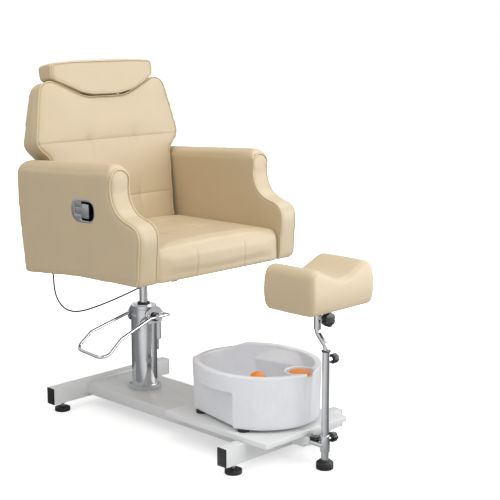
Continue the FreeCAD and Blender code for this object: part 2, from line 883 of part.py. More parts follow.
# Tray of folded sheet, open below, which lies on the front tube and on four welded blocks.
blocks = []
for support_y in ("rear_support_y", "front_support_y"):
    for side in FORE_AND_AFT:
        blocks.append(box("block %s %d" % (support_y[:5], side), "support_length", "support_width",
                          "tray_top - tray_sheet - channel_top", "post_side + %d * support_offset" % side,
                          support_y, "channel_top"))
tray_run = "tray_front_reach - tray_rear_reach"
tray_blank = prism_body("tray blank", [(tray_run, "tray_thickness", "tray_front_y", "tube_top")],
                        "tray_width")
tray_inside = box("tray inside", "tray_width - 2 * tray_sheet", tray_run + " - 2 * tray_sheet",
                  "tray_thickness", "0", "(tray_front_y + tray_rear_y) / 2", "tube_top - tray_sheet")
node(fuse("tray", [cut("tray pan", tray_blank, [tray_inside])] + blocks))

# Pump: bolted flange, chromed casing, inner barrel, gland and wiper seal round the piston rod.
flange_holes = [bar("flange hole %d" % turn, "pump_bolt_radius + fit_clearance", "2 * flange_thickness",
                    bolt_x, bolt_y, "channel_top - flange_thickness / 2")
                for turn, bolt_x, bolt_y in bolt_holes]
flange = bar("flange blank", "flange_radius", "flange_thickness", "0", "column_place", "channel_top")
node(cut("pump_flange", flange, flange_holes))
bolts = []
for turn, bolt_x, bolt_y in bolt_holes:
    name = "pump bolt %d" % turn
    shank = bar(name + " shank", "pump_bolt_radius", "flange_thickness + channel_sheet + pump_bolt_tail",
                bolt_x, bolt_y, "channel_top - channel_sheet - pump_bolt_tail")
    head = bar(name + " head", "pump_bolt_head_radius", "pump_bolt_head", bolt_x, bolt_y, "flange_top")
    nut = bar(name + " nut", "pump_bolt_head_radius", "pump_bolt_nut", bolt_x, bolt_y,
              "channel_top - channel_sheet - pump_bolt_nut")
    bolts.append(fuse(name, [shank, head, nut]))
node(group("pump_bolts", bolts))

casing = bar("casing blank", "casing_radius", "casing_top - flange_top", "0", "column_place",
             "flange_top")
casing_bore = bar("casing bore", "casing_radius - casing_wall", "casing_top", "0", "column_place", "0")
node(cut("pump_casing", casing, [casing_bore]))
barrel = bar("barrel blank", "barrel_radius", "barrel_top - flange_top", "0", "column_place",
             "flange_top")
barrel_bore = bar("barrel bore", "piston_head_radius", "barrel_top", "0", "column_place", "0")
node(cut("ram_barrel", barrel, [barrel_bore]))
gland = bar("gland plug", "casing_radius - casing_wall - fit_clearance", "casing_top - barrel_top",
            "0", "column_place", "barrel_top")
gland_lip = bar("gland lip", "gland_lip_radius", "gland_lip", "0", "column_place", "casing_top")
gland_bore = bar("gland bore", "gland_bore", "casing_top", "0", "column_place", "barrel_top - gland_lip")
node(cut("pump_gland", fuse("gland blank", [gland, gland_lip]), [gland_bore]))
seal = bar("seal blank", "seal_radius", "seal_height", "0", "column_place", "seal_bottom")
seal_bore = bar("seal bore", "gland_bore + seal_gap", "casing_top", "0", "column_place", "casing_top")
node(cut("rod_seal", seal, [seal_bore]))
piston = bar("piston shaft", "piston_radius", "piston_top - piston_head_bottom", "0", "column_place",
             "piston_head_bottom")
piston_head = bar("piston head", "piston_head_radius - fit_clearance", "piston_head_height", "0",
                  "column_place", "piston_head_bottom")
node(fuse("piston_rod", [piston, piston_head]))

# Ears with trunnion pins on both sides of the casing, and the plunger's housing behind.
axis_x = size("lever_axis_side")
axis_z = size("lever_axis_height")
casing_core = Part.makeCylinder(size("casing_radius"), size("casing_top"), Vector(0, column, 0))
ear_radius = size("ear_radius")
ear_thick = size("ear_thickness")
half = size("lever_half_width")
eye_reach = half + size("lever_eye_width") / 2
below_axis = Part.makeBox(2 * ear_radius, 2 * half, ear_radius,
                          Vector(axis_x - ear_radius, column - half,
                                 axis_z - ear_radius - size("ear_flat_drop")))
ears = []
for side in FORE_AND_AFT:
    face = column + side * size("ear_inner_y")
    centre = Vector(axis_x, face, axis_z)
    through = Vector(0, side * ear_thick, 0)
    ear = Part.makeCylinder(ear_radius, ear_thick, centre, through).cut(below_axis)
    boss = Part.makeCylinder(1.6 * size("lever_eye_radius"), ear_thick, centre, through)
    web_start = Vector(axis_x, column + side * 0.8 * size("casing_radius"), axis_z)
    web = round_bar(size("lever_eye_radius"), web_start, centre + through)
    pin = round_bar(size("trunnion_radius"), centre, Vector(axis_x, column + side * eye_reach, axis_z))
    ears.append(ear.fuse([boss, web, pin]).cut(casing_core).removeSplitter())
node(feature("lever_ears", Part.makeCompound(ears)))

housing_x = size("plunger_side")
housing_low = size("plunger_housing_bottom")
housing_high = size("plunger_housing_top")
housing_start = Vector(housing_x, column, housing_low)
housing = Part.makeCylinder(size("plunger_housing_radius"), housing_high - housing_low, housing_start)
bridge_width = 2 * size("plunger_housing_radius")
bridge_inset = size("housing_bridge_inset")
bridge_start = size("casing_radius") / 2
bridge = Part.makeBox(housing_x - bridge_start, bridge_width,
                      housing_high - housing_low - 2 * bridge_inset,
                      Vector(bridge_start, column - bridge_width / 2, housing_low + bridge_inset))
plunger_top = size("plunger_top")
plunger_length = size("plunger_length")
plunger_low = plunger_top - plunger_length
plunger_bore = Part.makeCylinder(size("plunger_radius") + size("running_clearance"), 2 * plunger_length,
                                 Vector(housing_x, column, plunger_low - plunger_length / 2))
node(feature("plunger_housing", housing.fuse(bridge).cut(casing_core).cut(plunger_bore)))
plunger = Part.makeCylinder(size("plunger_radius"), plunger_length, Vector(housing_x, column, plunger_low))
node(feature("pump_plunger", plunger))

# Foot lever: one bent rod round the column, closed by a yoke bar over the plunger.
near_arm = column - half
far_arm = column + half
pedal_side = size("pedal_side")
pedal_z = axis_z - size("pedal_drop")
route = [
    Vector(housing_x, near_arm, axis_z),
    Vector(-size("lever_neck_side"), near_arm, axis_z - size("lever_neck_drop")),
    Vector(-size("lever_elbow_side"), near_arm, axis_z - size("lever_elbow_drop")),
    Vector(-size("pedal_heel_side"), near_arm, axis_z - size("pedal_heel_drop")),
    Vector(-pedal_side, near_arm, pedal_z),
    Vector(-pedal_side - size("pedal_skew"), far_arm, pedal_z + size("pedal_lift")),
    Vector(-size("far_elbow_side"), far_arm, axis_z - size("far_elbow_drop")),
    Vector(-size("lever_neck_side"), far_arm, axis_z),
    Vector(housing_x, far_arm, axis_z),
]
rod_radius = size("lever_rod_radius")
lever_path, lever_radii = bent_path(route, radius=size("lever_bend_radius"))
lever = tube_along(lever_path, rod_radius)
lever_rod = lever.copy()
yoke = round_bar(rod_radius, route[0] - Vector(0, rod_radius, 0), route[-1] + Vector(0, rod_radius, 0))
lever = lever.fuse(yoke)
hubs = []
for side in FORE_AND_AFT:
    hub_start = Vector(axis_x, column + side * size("hub_inner_y"), axis_z)
    hub_run = Vector(0, side * size("lever_hub_width"), 0)
    eye_start = Vector(axis_x, column + side * (2 * half - eye_reach), axis_z)
    eye_end = Vector(axis_x, column + side * eye_reach, axis_z)
    eye = round_bar(size("lever_eye_radius"), eye_start, eye_end)
    inner = round_bar(size("lever_eye_radius"), hub_start, eye_end)
    hub = round_bar(size("lever_hub_radius"), hub_start, hub_start + hub_run)
    hubs.append(hub.cut(inner).cut(lever_rod))
    lever = lever.fuse(eye)
pin_bore = round_bar(size("trunnion_radius") + size("running_clearance"),
                     Vector(axis_x, column - eye_reach, axis_z), Vector(axis_x, column + eye_reach, axis_z))
lever = lever.cut(pin_bore)
node(feature("pump_lever", lever.removeSplitter()))
node(feature("lever_hubs", Part.makeCompound(hubs)))

# Seat socket that turns on the piston rod, with the plate and board above it.
hub = bar("socket hub", "socket_radius", "socket_top - socket_bottom", "0", "column_place",
          "socket_bottom")
socket_flange = bar("socket flange", "socket_flange_radius", "socket_flange", "0", "column_place",
                    "socket_top")
socket_bore = bar("socket bore", "gland_bore", "socket_bore_top - socket_bottom + socket_flange", "0",
                  "column_place", "socket_bottom - socket_flange")
seat_bolt_places = []
for turn in bolt_turns:
    across = math.cos(math.radians(turn))
    along = math.sin(math.radians(turn))
    seat_bolt_places.append((turn, "%.6f * seat_bolt_circle" % across,
                             "column_place + %.6f * seat_bolt_circle" % along))


def seat_bolt_holes(name, bottom, height):
    return [bar("%s hole %d" % (name, turn), "seat_bolt_radius + fit_clearance", height, x, y, bottom)
            for turn, x, y in seat_bolt_places]


socket = fuse("socket blank", [hub, socket_flange])
node(cut("seat_socket", socket,
         [socket_bore] + seat_bolt_holes("socket", "socket_top - socket_flange / 2", "2 * socket_flange")))
plate_section = [("seat_plate_width", "seat_plate_thickness",
                  "column_place - seat_plate_width / 2", "seat_plate_bottom")]
plate = prism_body("seat plate blank", plate_section, "seat_plate_width")
plate_notch = box("plate notch", "lock_notch", "seat_plate_width / 2 - lock_notch_reach",
                  "3 * seat_plate_thickness", "-lock_side",
                  "column_place + (seat_plate_width / 2 + lock_notch_reach) / 2",
                  "seat_plate_bottom - seat_plate_thickness")
plate_holes = seat_bolt_holes("plate", "seat_plate_bottom - seat_plate_thickness / 2",
                              "2 * seat_plate_thickness")
node(cut("seat_plate", plate, plate_holes + [plate_notch]))
seat_bolts = []
for turn, x, y in seat_bolt_places:
    name = "seat bolt %d" % turn
    head = bar(name + " head", "seat_bolt_head_radius", "seat_bolt_head", x, y,
               "socket_top - seat_bolt_head")
    shank = bar(name + " shank", "seat_bolt_radius",
                "socket_flange + seat_plate_thickness + seat_bolt_bite", x, y, "socket_top")
    seat_bolts.append(fuse(name, [head, shank]))
node(group("seat_plate_bolts", seat_bolts))
board_section = [("seat_board_length", "seat_board_thickness",
                  "seat_board_y - seat_board_length / 2", "seat_plate_top")]
board = prism_body("seat board blank", board_section, "seat_board_width")
board_notch = box("board notch", "lock_notch", "seat_board_rear_reach - lock_notch_reach",
                  "2 * seat_board_thickness", "-lock_side",
                  "column_place + (seat_board_rear_reach + lock_notch_reach) / 2",
                  "seat_plate_top - seat_board_thickness / 2")
seat_board = node(cut("seat_board", board,
                      seat_bolt_holes("board", "seat_plate_top", "seat_bolt_bite") + [board_notch]))
doc.recompute()

# Seat cushion: crowned sections from side to side, with four tufts and a notch for the lock arm.
seat_front = column - size("seat_front_reach")
seat_rear = size("seat_rear_y")
seat_low = size("seat_underside")
crest = size("seat_crest")
crown = size("seat_crown")
seat_half = size("seat_half_width")
nose = size("seat_nose_radius")
edge = size("seat_edge_radius")
seat_sections = []
for share in (-1, -0.94, -0.5, 0, 0.5, 0.94, 1):
    drawn = size("seat_side_draw") if abs(share) == 1 else 0
    sag = crown * share * share
    low = seat_low + drawn
    high = crest + crown - sag - 1.2 * drawn
    corners = [(seat_front + drawn, low, edge), (seat_rear - drawn, low, edge),
               (seat_rear - drawn, high - size("seat_rear_fall"), size("seat_rear_radius")),
               (seat_front + drawn, high - size("seat_nose_fall"), nose)]
    seat_sections.append(rounded_wire(corners, on_side(share * seat_half)))
seat_cushion = Part.makeLoft(seat_sections, True, True)
seat_cushion = seat_cushion.cut(board.Shape)
for side in FORE_AND_AFT:
    for reach in (size("front_tuft_reach"), size("rear_tuft_reach")):
        top = crest + crown - size("tuft_depth")
        centre = Vector(side * size("tuft_offset"), column - reach, top + size("tuft_radius"))
        seat_cushion = seat_cushion.cut(Part.makeSphere(size("tuft_radius"), centre))
notch_width = size("lock_notch")
notch_front = column + size("lock_notch_reach")
notch_high = size("hinge_height") + size("lock_notch_rise") - size("seat_plate_bottom")
arm_notch = Part.makeBox(notch_width, seat_rear - notch_front, notch_high,
                         Vector(-size("lock_side") - notch_width / 2, notch_front,
                                size("seat_plate_bottom")))
seat_cushion = seat_cushion.cut(arm_notch)
node(feature("seat_cushion", seat_cushion))

# Arms: a padded slab with an S-shaped front and a fully rounded top, on a board frame.
arm_front = column - size("arm_front_reach")
arm_corners = [
    (arm_front, seat_low, size("arm_front_radius")),
    (column - size("arm_nose_reach"), size("arm_shoulder_height"), size("arm_shoulder_radius")),
    (column - size("arm_neck_reach"), size("arm_neck_height"), size("arm_neck_radius")),
    (column - size("arm_upright_reach"), size("arm_crest"), size("arm_crest_radius")),
    (column + size("arm_rear_reach"), size("arm_rear_crest"), size("arm_rear_radius")),
    (column + size("arm_rear_reach") - size("arm_waist_inset"), size("arm_waist_height"),
     size("arm_waist_radius")),
    (column + size("arm_heel_reach"), size("arm_heel_height"), size("arm_heel_radius")),
    (column - size("arm_sag_reach"), seat_low - size("arm_sag"), size("arm_sag_radius")),
]
arm_inner = size("arm_inner_face")
arm_outer = size("arm_outer_face")
arm_thick = size("arm_thickness")
arm_middle = (arm_inner + arm_outer) / 2
top_fall = size("arm_rear_fall")
top_run = size("arm_upright_reach") + size("arm_rear_reach")
top_slope = Vector(0, top_run, -top_fall).normalize()
over = arm_thick
arm_cushions = {}
arm_frames = []
frame_thick = size("arm_frame_thickness")
for side, label in ((-1, "right_arm_cushion"), (1, "left_arm_cushion")):
    near = side * arm_inner if side > 0 else side * arm_outer
    arm = slab(arm_corners, on_side(near), Vector(arm_thick, 0, 0))
    start = Vector(0, column - size("arm_upright_reach"), size("arm_crest")) - top_slope * (2 * over)
    floor = size("arm_heel_height") - over
    spring = start.z - arm_thick / 2
    round_top = [
        Part.LineSegment(Vector(side * arm_inner, start.y, floor),
                         Vector(side * arm_inner, start.y, spring)).toShape(),
        Part.Arc(Vector(side * arm_inner, start.y, spring), Vector(side * arm_middle, start.y, start.z),
                 Vector(side * arm_outer, start.y, spring)).toShape(),
        Part.LineSegment(Vector(side * arm_outer, start.y, spring),
                         Vector(side * arm_outer, start.y, floor)).toShape(),
        Part.LineSegment(Vector(side * arm_outer, start.y, floor),
                         Vector(side * arm_inner, start.y, floor)).toShape(),
    ]
    profile = Part.Face(Part.Wire(round_top)).extrude(top_slope * (top_run + 4 * over))
    arm = arm.common(profile)
    frame_inner = arm_inner + size("arm_frame_offset")
    frame_corners = [
        (arm_front + 30, seat_low + 18, 15), (arm_front + 22, seat_low + 140, 30),
        (column - size("arm_neck_reach") + 34, size("arm_neck_height") + 15, 40),
        (column - size("arm_upright_reach") + 36, size("arm_crest") - 50, 20),
        (column + size("arm_rear_reach") - 42, size("arm_rear_crest") - 42, 20),
        (column + size("arm_heel_reach") - 28, seat_low + 8, 15),
    ]
    panel_x = frame_inner if side > 0 else -frame_inner - frame_thick
    panel = slab(frame_corners, on_side(panel_x), Vector(frame_thick, 0, 0))
    tab_width = frame_inner + frame_thick - size("arm_tab_inner")
    tab_x = size("arm_tab_inner") if side > 0 else -frame_inner - frame_thick
    tab = Part.makeBox(tab_width, size("arm_tab_front_reach") + size("arm_tab_rear_reach"),
                       size("arm_tab_thickness"),
                       Vector(tab_x, column - size("arm_tab_front_reach"), size("seat_plate_bottom")))
    riser = Part.makeBox(frame_thick, size("arm_tab_front_reach") + size("arm_tab_rear_reach"),
                         size("arm_riser"),
                         Vector(panel_x, column - size("arm_tab_front_reach"),
                                size("seat_plate_bottom")))
    frame_piece = panel.fuse([tab, riser]).removeSplitter()
    arm_frames.append(frame_piece)
    arm_cushions[label] = arm.cut(frame_piece)

# Recline handle: a flat bezel over a cup in the right arm, with a T-shaped pull paddle.
bezel_y = column - size("bezel_reach")
bezel_z = size("bezel_centre_height")
bezel_out = -arm_outer - size("bezel_proud")
recess_rear = column - size("recess_rear_reach")
recess_front = recess_rear - size("recess_length")
recess_half = size("recess_height") / 2
slot_half = size("stem_slot_height") / 2
slot_rear = recess_rear + size("stem_slot_length")
recess_corner = size("recess_corner")
well_corners = [(recess_front, bezel_z - recess_half, recess_corner),
                (recess_rear, bezel_z - recess_half, 6),
                (recess_rear, bezel_z - slot_half, 1), (slot_rear, bezel_z - slot_half, 2),
                (slot_rear, bezel_z + slot_half, 2), (recess_rear, bezel_z + slot_half, 1),
                (recess_rear, bezel_z + recess_half, 6),
                (recess_front, bezel_z + recess_half, recess_corner)]
half_length = size("bezel_length") / 2
half_height = size("bezel_height") / 2
bezel_corners = rectangle(bezel_y - half_length, bezel_y + half_length, bezel_z - half_height,
                          bezel_z + half_height, size("bezel_corner"))
bezel_thick = size("bezel_thickness")
bezel_blank = slab(bezel_corners, on_side(bezel_out), Vector(bezel_thick, 0, 0))
cup_depth = size("cup_depth")
well = slab(well_corners, on_side(bezel_out - 1), Vector(bezel_thick + 1 + cup_depth, 0, 0))
bezel = bezel_blank.cut(well)
cup_face = bezel_out + bezel_thick
wall = size("cup_wall")
cup_corners = rectangle(recess_front - wall, slot_rear + wall, bezel_z - recess_half - wall,
                        bezel_z + recess_half + wall, size("cup_corner"))
cup_blank = slab(cup_corners, on_side(cup_face), Vector(cup_depth + wall, 0, 0))
paddle_out = bezel_out + size("paddle_inset")
pin_x = paddle_out + size("paddle_thickness") / 2
pin_y = slot_rear - size("paddle_pin_inset")
pin_radius = size("paddle_pin_radius")
paddle_pin = Part.makeCylinder(pin_radius, 2 * (slot_half + wall / 2),
                               Vector(pin_x, pin_y, bezel_z - slot_half - wall / 2))
handle_cup = cup_blank.cut(well).fuse(paddle_pin).cut(bezel)
arm_cushions["right_arm_cushion"] = arm_cushions["right_arm_cushion"].cut(bezel_blank).cut(cup_blank)
paddle_rear = recess_rear - size("paddle_gap")
paddle_half = size("paddle_height") / 2
paddle_corners = rectangle(paddle_rear - size("paddle_length"), paddle_rear, bezel_z - paddle_half,
                           bezel_z + paddle_half, size("paddle_corner"))
paddle_body = slab(paddle_corners, on_side(paddle_out), Vector(size("paddle_thickness"), 0, 0))
stem_half = size("paddle_stem_height") / 2
stem = slab(rectangle(paddle_rear - 4, pin_y + 3, bezel_z - stem_half, bezel_z + stem_half, 1),
            on_side(paddle_out), Vector(size("paddle_thickness"), 0, 0))
paddle_bore = Part.makeCylinder(pin_radius + size("running_clearance"), 2 * paddle_half,
                                Vector(pin_x, pin_y, bezel_z - paddle_half))
paddle = paddle_body.fuse(stem).removeSplitter().cut(paddle_bore)
node(feature("handle_bezel", bezel))
node(feature("handle_cup", handle_cup))
node(feature("recline_paddle", paddle))

# Recline cable: it hangs in a loop from the arm and rises to the lock under the seat.
# Each point is its level distance from the exit and its drop below the seat plate's top.
CABLE_ROUTE = [(0, 30), (0.5, 68), (9, 107), (31, 136), (62, 146), (100, 139), (150, 120), (205, 95),
               (262, 66.5), (307, 42), (350, 21)]
heading = math.radians(size("cable_heading"))
exit_x = -size("cable_exit_side")
exit_y = column + size("cable_exit_reach")
cable_points = [Vector(exit_x + along * math.cos(heading), exit_y - along * math.sin(heading),
                       size("seat_plate_top") - drop) for along, drop in CABLE_ROUTE]
cable_path, cable_radii = bent_path(cable_points, share=0.45)
cable_radius = size("cable_radius")
cable = tube_along(cable_path, cable_radius)
print("cable bend radii", [round(value) for value in cable_radii])
print("cable length", round(cable_path.Length, 1), "volume ratio",
      round(cable.Volume / (math.pi * cable_radius ** 2 * cable_path.Length), 4))
node(feature("recline_cable", cable))
gland_radius = size("gland_radius")
gland_length = size("gland_length")
start_heading = (cable_points[1] - cable_points[0]).normalize()
exit_gland = round_bar(gland_radius, cable_points[0],
                       cable_points[0] - start_heading * size("gland_depth"))
end_heading = (cable_points[-1] - cable_points[-2]).normalize()
lock_gland = round_bar(gland_radius, cable_points[-1], cable_points[-1] + end_heading * gland_length)
node(feature("cable_glands", Part.makeCompound([exit_gland, lock_gland])))
arm_cushions["right_arm_cushion"] = arm_cushions["right_arm_cushion"].cut(exit_gland)
for label in ("right_arm_cushion", "left_arm_cushion"):
    node(feature(label, arm_cushions[label]))
node(feature("arm_frames", Part.makeCompound(arm_frames)))

# Recline lock: a tube under the seat whose rod follows the back's lower arm.
lock_x = -size("lock_side")
lock_z = size("lock_height")
lock_front = column - size("lock_tube_front_reach")
lock_rear = column - size("lock_tube_rear_reach")
lock_tube = round_bar(size("lock_tube_radius"), Vector(lock_x, lock_front, lock_z),
                      Vector(lock_x, lock_rear, lock_z))
head_half = size("lock_head_width") / 2
head_length = size("lock_head_length")
lock_head = Part.makeBox(2 * head_half, head_length, size("seat_plate_top") - size("lock_head_bottom"),
                         Vector(lock_x - head_half, lock_front - head_length, size("lock_head_bottom")))
hanger_width = size("lock_hanger_width")
hanger = Part.makeBox(hanger_width, size("lock_hanger_length"), size("lock_drop"),
                      Vector(lock_x - hanger_width / 2, column - size("lock_hanger_reach"), lock_z))
rear_wall = size("lock_tube_rear_wall")
lock_bore = round_bar(size("lock_bore_radius"),
                      Vector(lock_x, lock_front + size("lock_tube_front_wall"), lock_z),
                      Vector(lock_x, lock_rear - rear_wall, lock_z))
rod_bore = round_bar(size("lock_rod_radius") + size("fit_clearance"),
                     Vector(lock_x, lock_rear - 2 * rear_wall, lock_z),
                     Vector(lock_x, lock_rear + rear_wall, lock_z))
lock_housing = lock_tube.fuse([lock_head, hanger]).cut(lock_bore).cut(rod_bore).cut(lock_gland)
node(feature("recline_lock_housing", lock_housing))
hinge_y = size("hinge_y")
hinge_z = size("hinge_height")
eye_radius = size("lock_eye_radius")
eye_half = size("lock_eye_width") / 2
lock_rod = round_bar(size("lock_rod_radius"),
                     Vector(lock_x, column - size("lock_rod_front_reach"), lock_z),
                     Vector(lock_x, hinge_y - eye_radius / 2, lock_z))
eye = round_bar(eye_radius, Vector(lock_x - eye_half, hinge_y, lock_z),
                Vector(lock_x + eye_half, hinge_y, lock_z))
eye_hole = round_bar(size("lock_eye_hole"), Vector(lock_x - 10, hinge_y, lock_z),
                     Vector(lock_x + 10, hinge_y, lock_z))
node(feature("recline_lock_rod", lock_rod.fuse(eye).cut(eye_hole)))

# Back: leaning outline with wings, thick behind, crowned in front, with two seams and tufts.
lean = math.radians(size("back_lean"))
back_foot = Vector(0, size("back_foot_y"), size("back_foot_height"))
up_back = Vector(0, math.sin(lean), math.cos(lean))
into_back = Vector(0, math.cos(lean), -math.sin(lean))


def on_back(depth):
    """Puts outline points on the leaning back: first across, then up its slope."""
    return lambda x, up: back_foot + Vector(x, 0, 0) + up_back * up + into_back * depth


def mirrored(half_corners):
    """A whole outline from its right half, listed from the bottom to the top."""
    left = [(-x, up, radius) for x, up, radius in reversed(half_corners)]
    return half_corners + left


wing = size("back_wing_half")
back_outline = mirrored([
    (size("back_base_half"), -size("back_base_drop"), 20),
    (size("back_waist_half"), size("back_waist_rise"), 14),
    (wing, size("back_wing_rise"), 40),
    (size("back_shoulder_half"), size("back_shoulder_rise"), 45),
    (size("back_scoop_half"), size("back_scoop_rise"), 60),
    (size("back_dip_half"), size("back_dip_rise"), 90),
])


def shrunk(corners, across, up, centre):
    return [(x * across, centre + (rise - centre) * up, radius * up) for x, rise, radius in corners]


back_crown = size("back_crown")
middle_rise = size("back_crown_middle")
back_sections = [
    rounded_wire(shrunk(back_outline, 0.82, 0.86, middle_rise), on_back(-back_crown)),
    rounded_wire(shrunk(back_outline, 0.93, 0.95, middle_rise), on_back(-0.6 * back_crown)),
    rounded_wire(back_outline, on_back(0)),
    rounded_wire(back_outline, on_back(size("back_depth"))),
]
back_cushion = Part.makeLoft(back_sections, True, True)
rear_face = column + size("back_rear_reach")
prism_low = back_foot.z - size("back_heel_drop")
prism_high = back_foot.z + 1.5 * size("back_shoulder_rise")
side_corners = [(column, prism_low, 0), (rear_face - size("back_heel_inset"), prism_low, 0),
                (rear_face - size("back_elbow_inset"), back_foot.z + size("back_elbow_rise"), 60),
                (rear_face, back_foot.z + size("back_upright_rise"), 200), (rear_face, prism_high, 0),
                (column, prism_high, 0)]
side_prism = slab(side_corners, on_side(-1.1 * wing), Vector(2.2 * wing, 0, 0))
back_cushion = back_cushion.common(side_prism)
seam_radius = size("back_seam_radius")
for rise in (size("upper_seam"), size("lower_seam")):
    seam_place = on_back(-back_crown)
    seam = round_bar(seam_radius, seam_place(-1.1 * wing, rise), seam_place(1.1 * wing, rise))
    back_cushion = back_cushion.cut(seam)
    for side in FORE_AND_AFT:
        tuft = Part.makeSphere(size("tuft_radius"),
                               on_back(-back_crown - size("back_tuft_lift"))(
                                   side * size("tuft_offset"), rise))
        back_cushion = back_cushion.cut(tuft)
board_half = size("back_board_half_width")
board_depth = size("back_board_depth")
board_thick = size("back_board_thickness")
board_low = size("back_board_low")
board_corners = rectangle(-board_half, board_half, board_low, size("back_board_high"),
                          size("back_board_corner"))
back_board = slab(board_corners, on_back(board_depth), into_back * board_thick)

# Hinge: two seat plates and two back plates on pins, and a back plate with the lock's arm.
hinge_axis = Vector(0, hinge_y, hinge_z)
plate_radius = size("hinge_plate_radius")
plate_thick = size("hinge_plate_thickness")
plate_inner = size("hinge_plate_inner")
rear_of_board = board_depth + board_thick
pin_radius = size("hinge_pin_radius")
pin_clearance = size("running_clearance")


def back_plate(x):
    """A strip up the back of the board on a leg that ends in the hinge's hub."""
    low = board_low - size("hinge_plate_lap")
    half_strip = size("hinge_strip_width") / 2
    strip = slab(rectangle(low, low + size("hinge_plate_run"), rear_of_board,
                           rear_of_board + 2 * half_strip, 3),
                 lambda rise, depth: on_back(depth)(x, rise), Vector(plate_thick, 0, 0))
    leg_top = on_back(rear_of_board + half_strip)(0, board_low - size("hinge_leg_lap"))
    leg = link(hinge_axis, leg_top, half_strip, x, plate_thick)
    hub = round_bar(plate_radius, hinge_axis + Vector(x, 0, 0), hinge_axis + Vector(x + plate_thick, 0, 0))
    return strip.fuse([leg, hub])


back_plates = []
seat_plates = []
pins = []
seat_inner = size("seat_hinge_inner")
hinge_bore = round_bar(pin_radius + pin_clearance, hinge_axis - Vector(wing, 0, 0),
                       hinge_axis + Vector(wing, 0, 0))
foot_thick = size("seat_plate_thickness")
for side in FORE_AND_AFT:
    back_x = plate_inner if side > 0 else -plate_inner - plate_thick
    back_plates.append(back_plate(back_x).cut(hinge_bore))
    seat_x = seat_inner if side > 0 else -seat_inner - plate_thick
    upright_front = seat_rear + size("seat_hinge_gap")
    upright = Part.makeBox(plate_thick, hinge_y + plate_radius - upright_front,
                           size("hinge_rise"),
                           Vector(seat_x, upright_front, size("seat_plate_bottom")))
    hub = round_bar(plate_radius, hinge_axis + Vector(seat_x, 0, 0),
                    hinge_axis + Vector(seat_x + plate_thick, 0, 0))
    foot_width = size("seat_hinge_foot")
    foot_x = seat_x + plate_thick - foot_width if side > 0 else seat_x
    foot = Part.makeBox(foot_width, size("seat_hinge_foot_length") + hinge_y + plate_radius - seat_rear,
                        foot_thick, Vector(foot_x, seat_rear - size("seat_hinge_foot_length"),
                                           size("seat_plate_bottom")))
    seat_plates.append(upright.fuse([hub, foot]).cut(hinge_bore).removeSplitter())
    pin_start = min(back_x, seat_x) - size("hinge_pin_end")
    pin_end = max(back_x, seat_x) + plate_thick + size("hinge_pin_end")
    pins.append(round_bar(pin_radius, hinge_axis + Vector(pin_start, 0, 0),
                          hinge_axis + Vector(pin_end, 0, 0)))
arm_x = lock_x + eye_half + size("lock_side_gap")
lock_arm = link(hinge_axis, Vector(0, hinge_y, lock_z), size("lock_arm_radius"), arm_x, plate_thick)
lock_plate = back_plate(arm_x).fuse(lock_arm)
lock_hole = round_bar(size("lock_eye_hole"), Vector(arm_x - 5, hinge_y, lock_z),
                      Vector(arm_x + plate_thick + 5, hinge_y, lock_z))
lock_plate = lock_plate.cut(lock_hole)
back_plates.append(lock_plate)
node(feature("back_board", back_board))
node(feature("back_hinge_plates", Part.makeCompound(back_plates)))
node(feature("seat_hinge_plates", Part.makeCompound(seat_plates)))
node(feature("hinge_pins", Part.makeCompound(pins)))

# Headrest: a bolster on two posts that slide in guides on the back board.
post_depth = size("headrest_post_depth")
guide_half = size("guide_width") / 2
guides = []
posts = []
post_holes = []
past_top = 1.2 * size("headrest_post_high")
for side in FORE_AND_AFT:
    x = side * size("headrest_post_offset")
    low_end = on_back(post_depth)(x, size("headrest_post_low"))
    high_end = on_back(post_depth)(x, size("headrest_post_high"))
    posts.append(round_bar(size("headrest_post_radius"), low_end, high_end))
    guide_corners = rectangle(x - guide_half, x + guide_half, size("guide_low"), size("guide_high"), 0)
    guide = slab(guide_corners, on_back(board_depth - 2 * guide_half), into_back * (2 * guide_half))
    bore = round_bar(size("headrest_post_radius") + pin_clearance,
                     on_back(post_depth)(x, size("guide_low") - size("guide_width")),
                     on_back(post_depth)(x, past_top))
    guides.append(guide.cut(bore))
    post_holes.append(round_bar(size("headrest_post_radius") + size("headrest_post_room"),
                                on_back(post_depth)(x, size("guide_low")),
                                on_back(post_depth)(x, past_top)))
node(feature("headrest_guides", Part.makeCompound(guides)))
node(feature("headrest_posts", Part.makeCompound(posts)))
for tool in [back_board] + back_plates + guides + post_holes:
    back_cushion = back_cushion.cut(tool)
node(feature("back_cushion", back_cushion))

pillow_half = size("pillow_half_width")
pillow_low = size("pillow_low")
pillow_high = size("pillow_high")
PILLOW_SHAPE = [(1, 58, 10, 11, 9), (0.93, 49, 5, 5, 14), (0.72, 31, 2, 1, 20), (0.5, 11, 0, 0, 24),
                (0.28, 1, 0, 0, 26), (0, 0, 0, 0, 26)]
pillow_rows = [(-share, *rest) for share, *rest in PILLOW_SHAPE[:-1]]
pillow_rows += list(reversed(PILLOW_SHAPE))
pillow_sections = []
for share, rise, fall, thin, radius in pillow_rows:
    corners = rectangle(-size("pillow_front") + thin, size("pillow_rear") - thin,
                        pillow_low + rise, pillow_high - fall, radius)
    centre_x = share * pillow_half
    pillow_sections.append(rounded_wire(corners, lambda depth, rise, x=centre_x: on_back(depth)(x, rise)))
headrest = Part.makeLoft(pillow_sections, True, True)
for post in posts:
    headrest = headrest.cut(post)
node(feature("headrest_cushion", headrest))

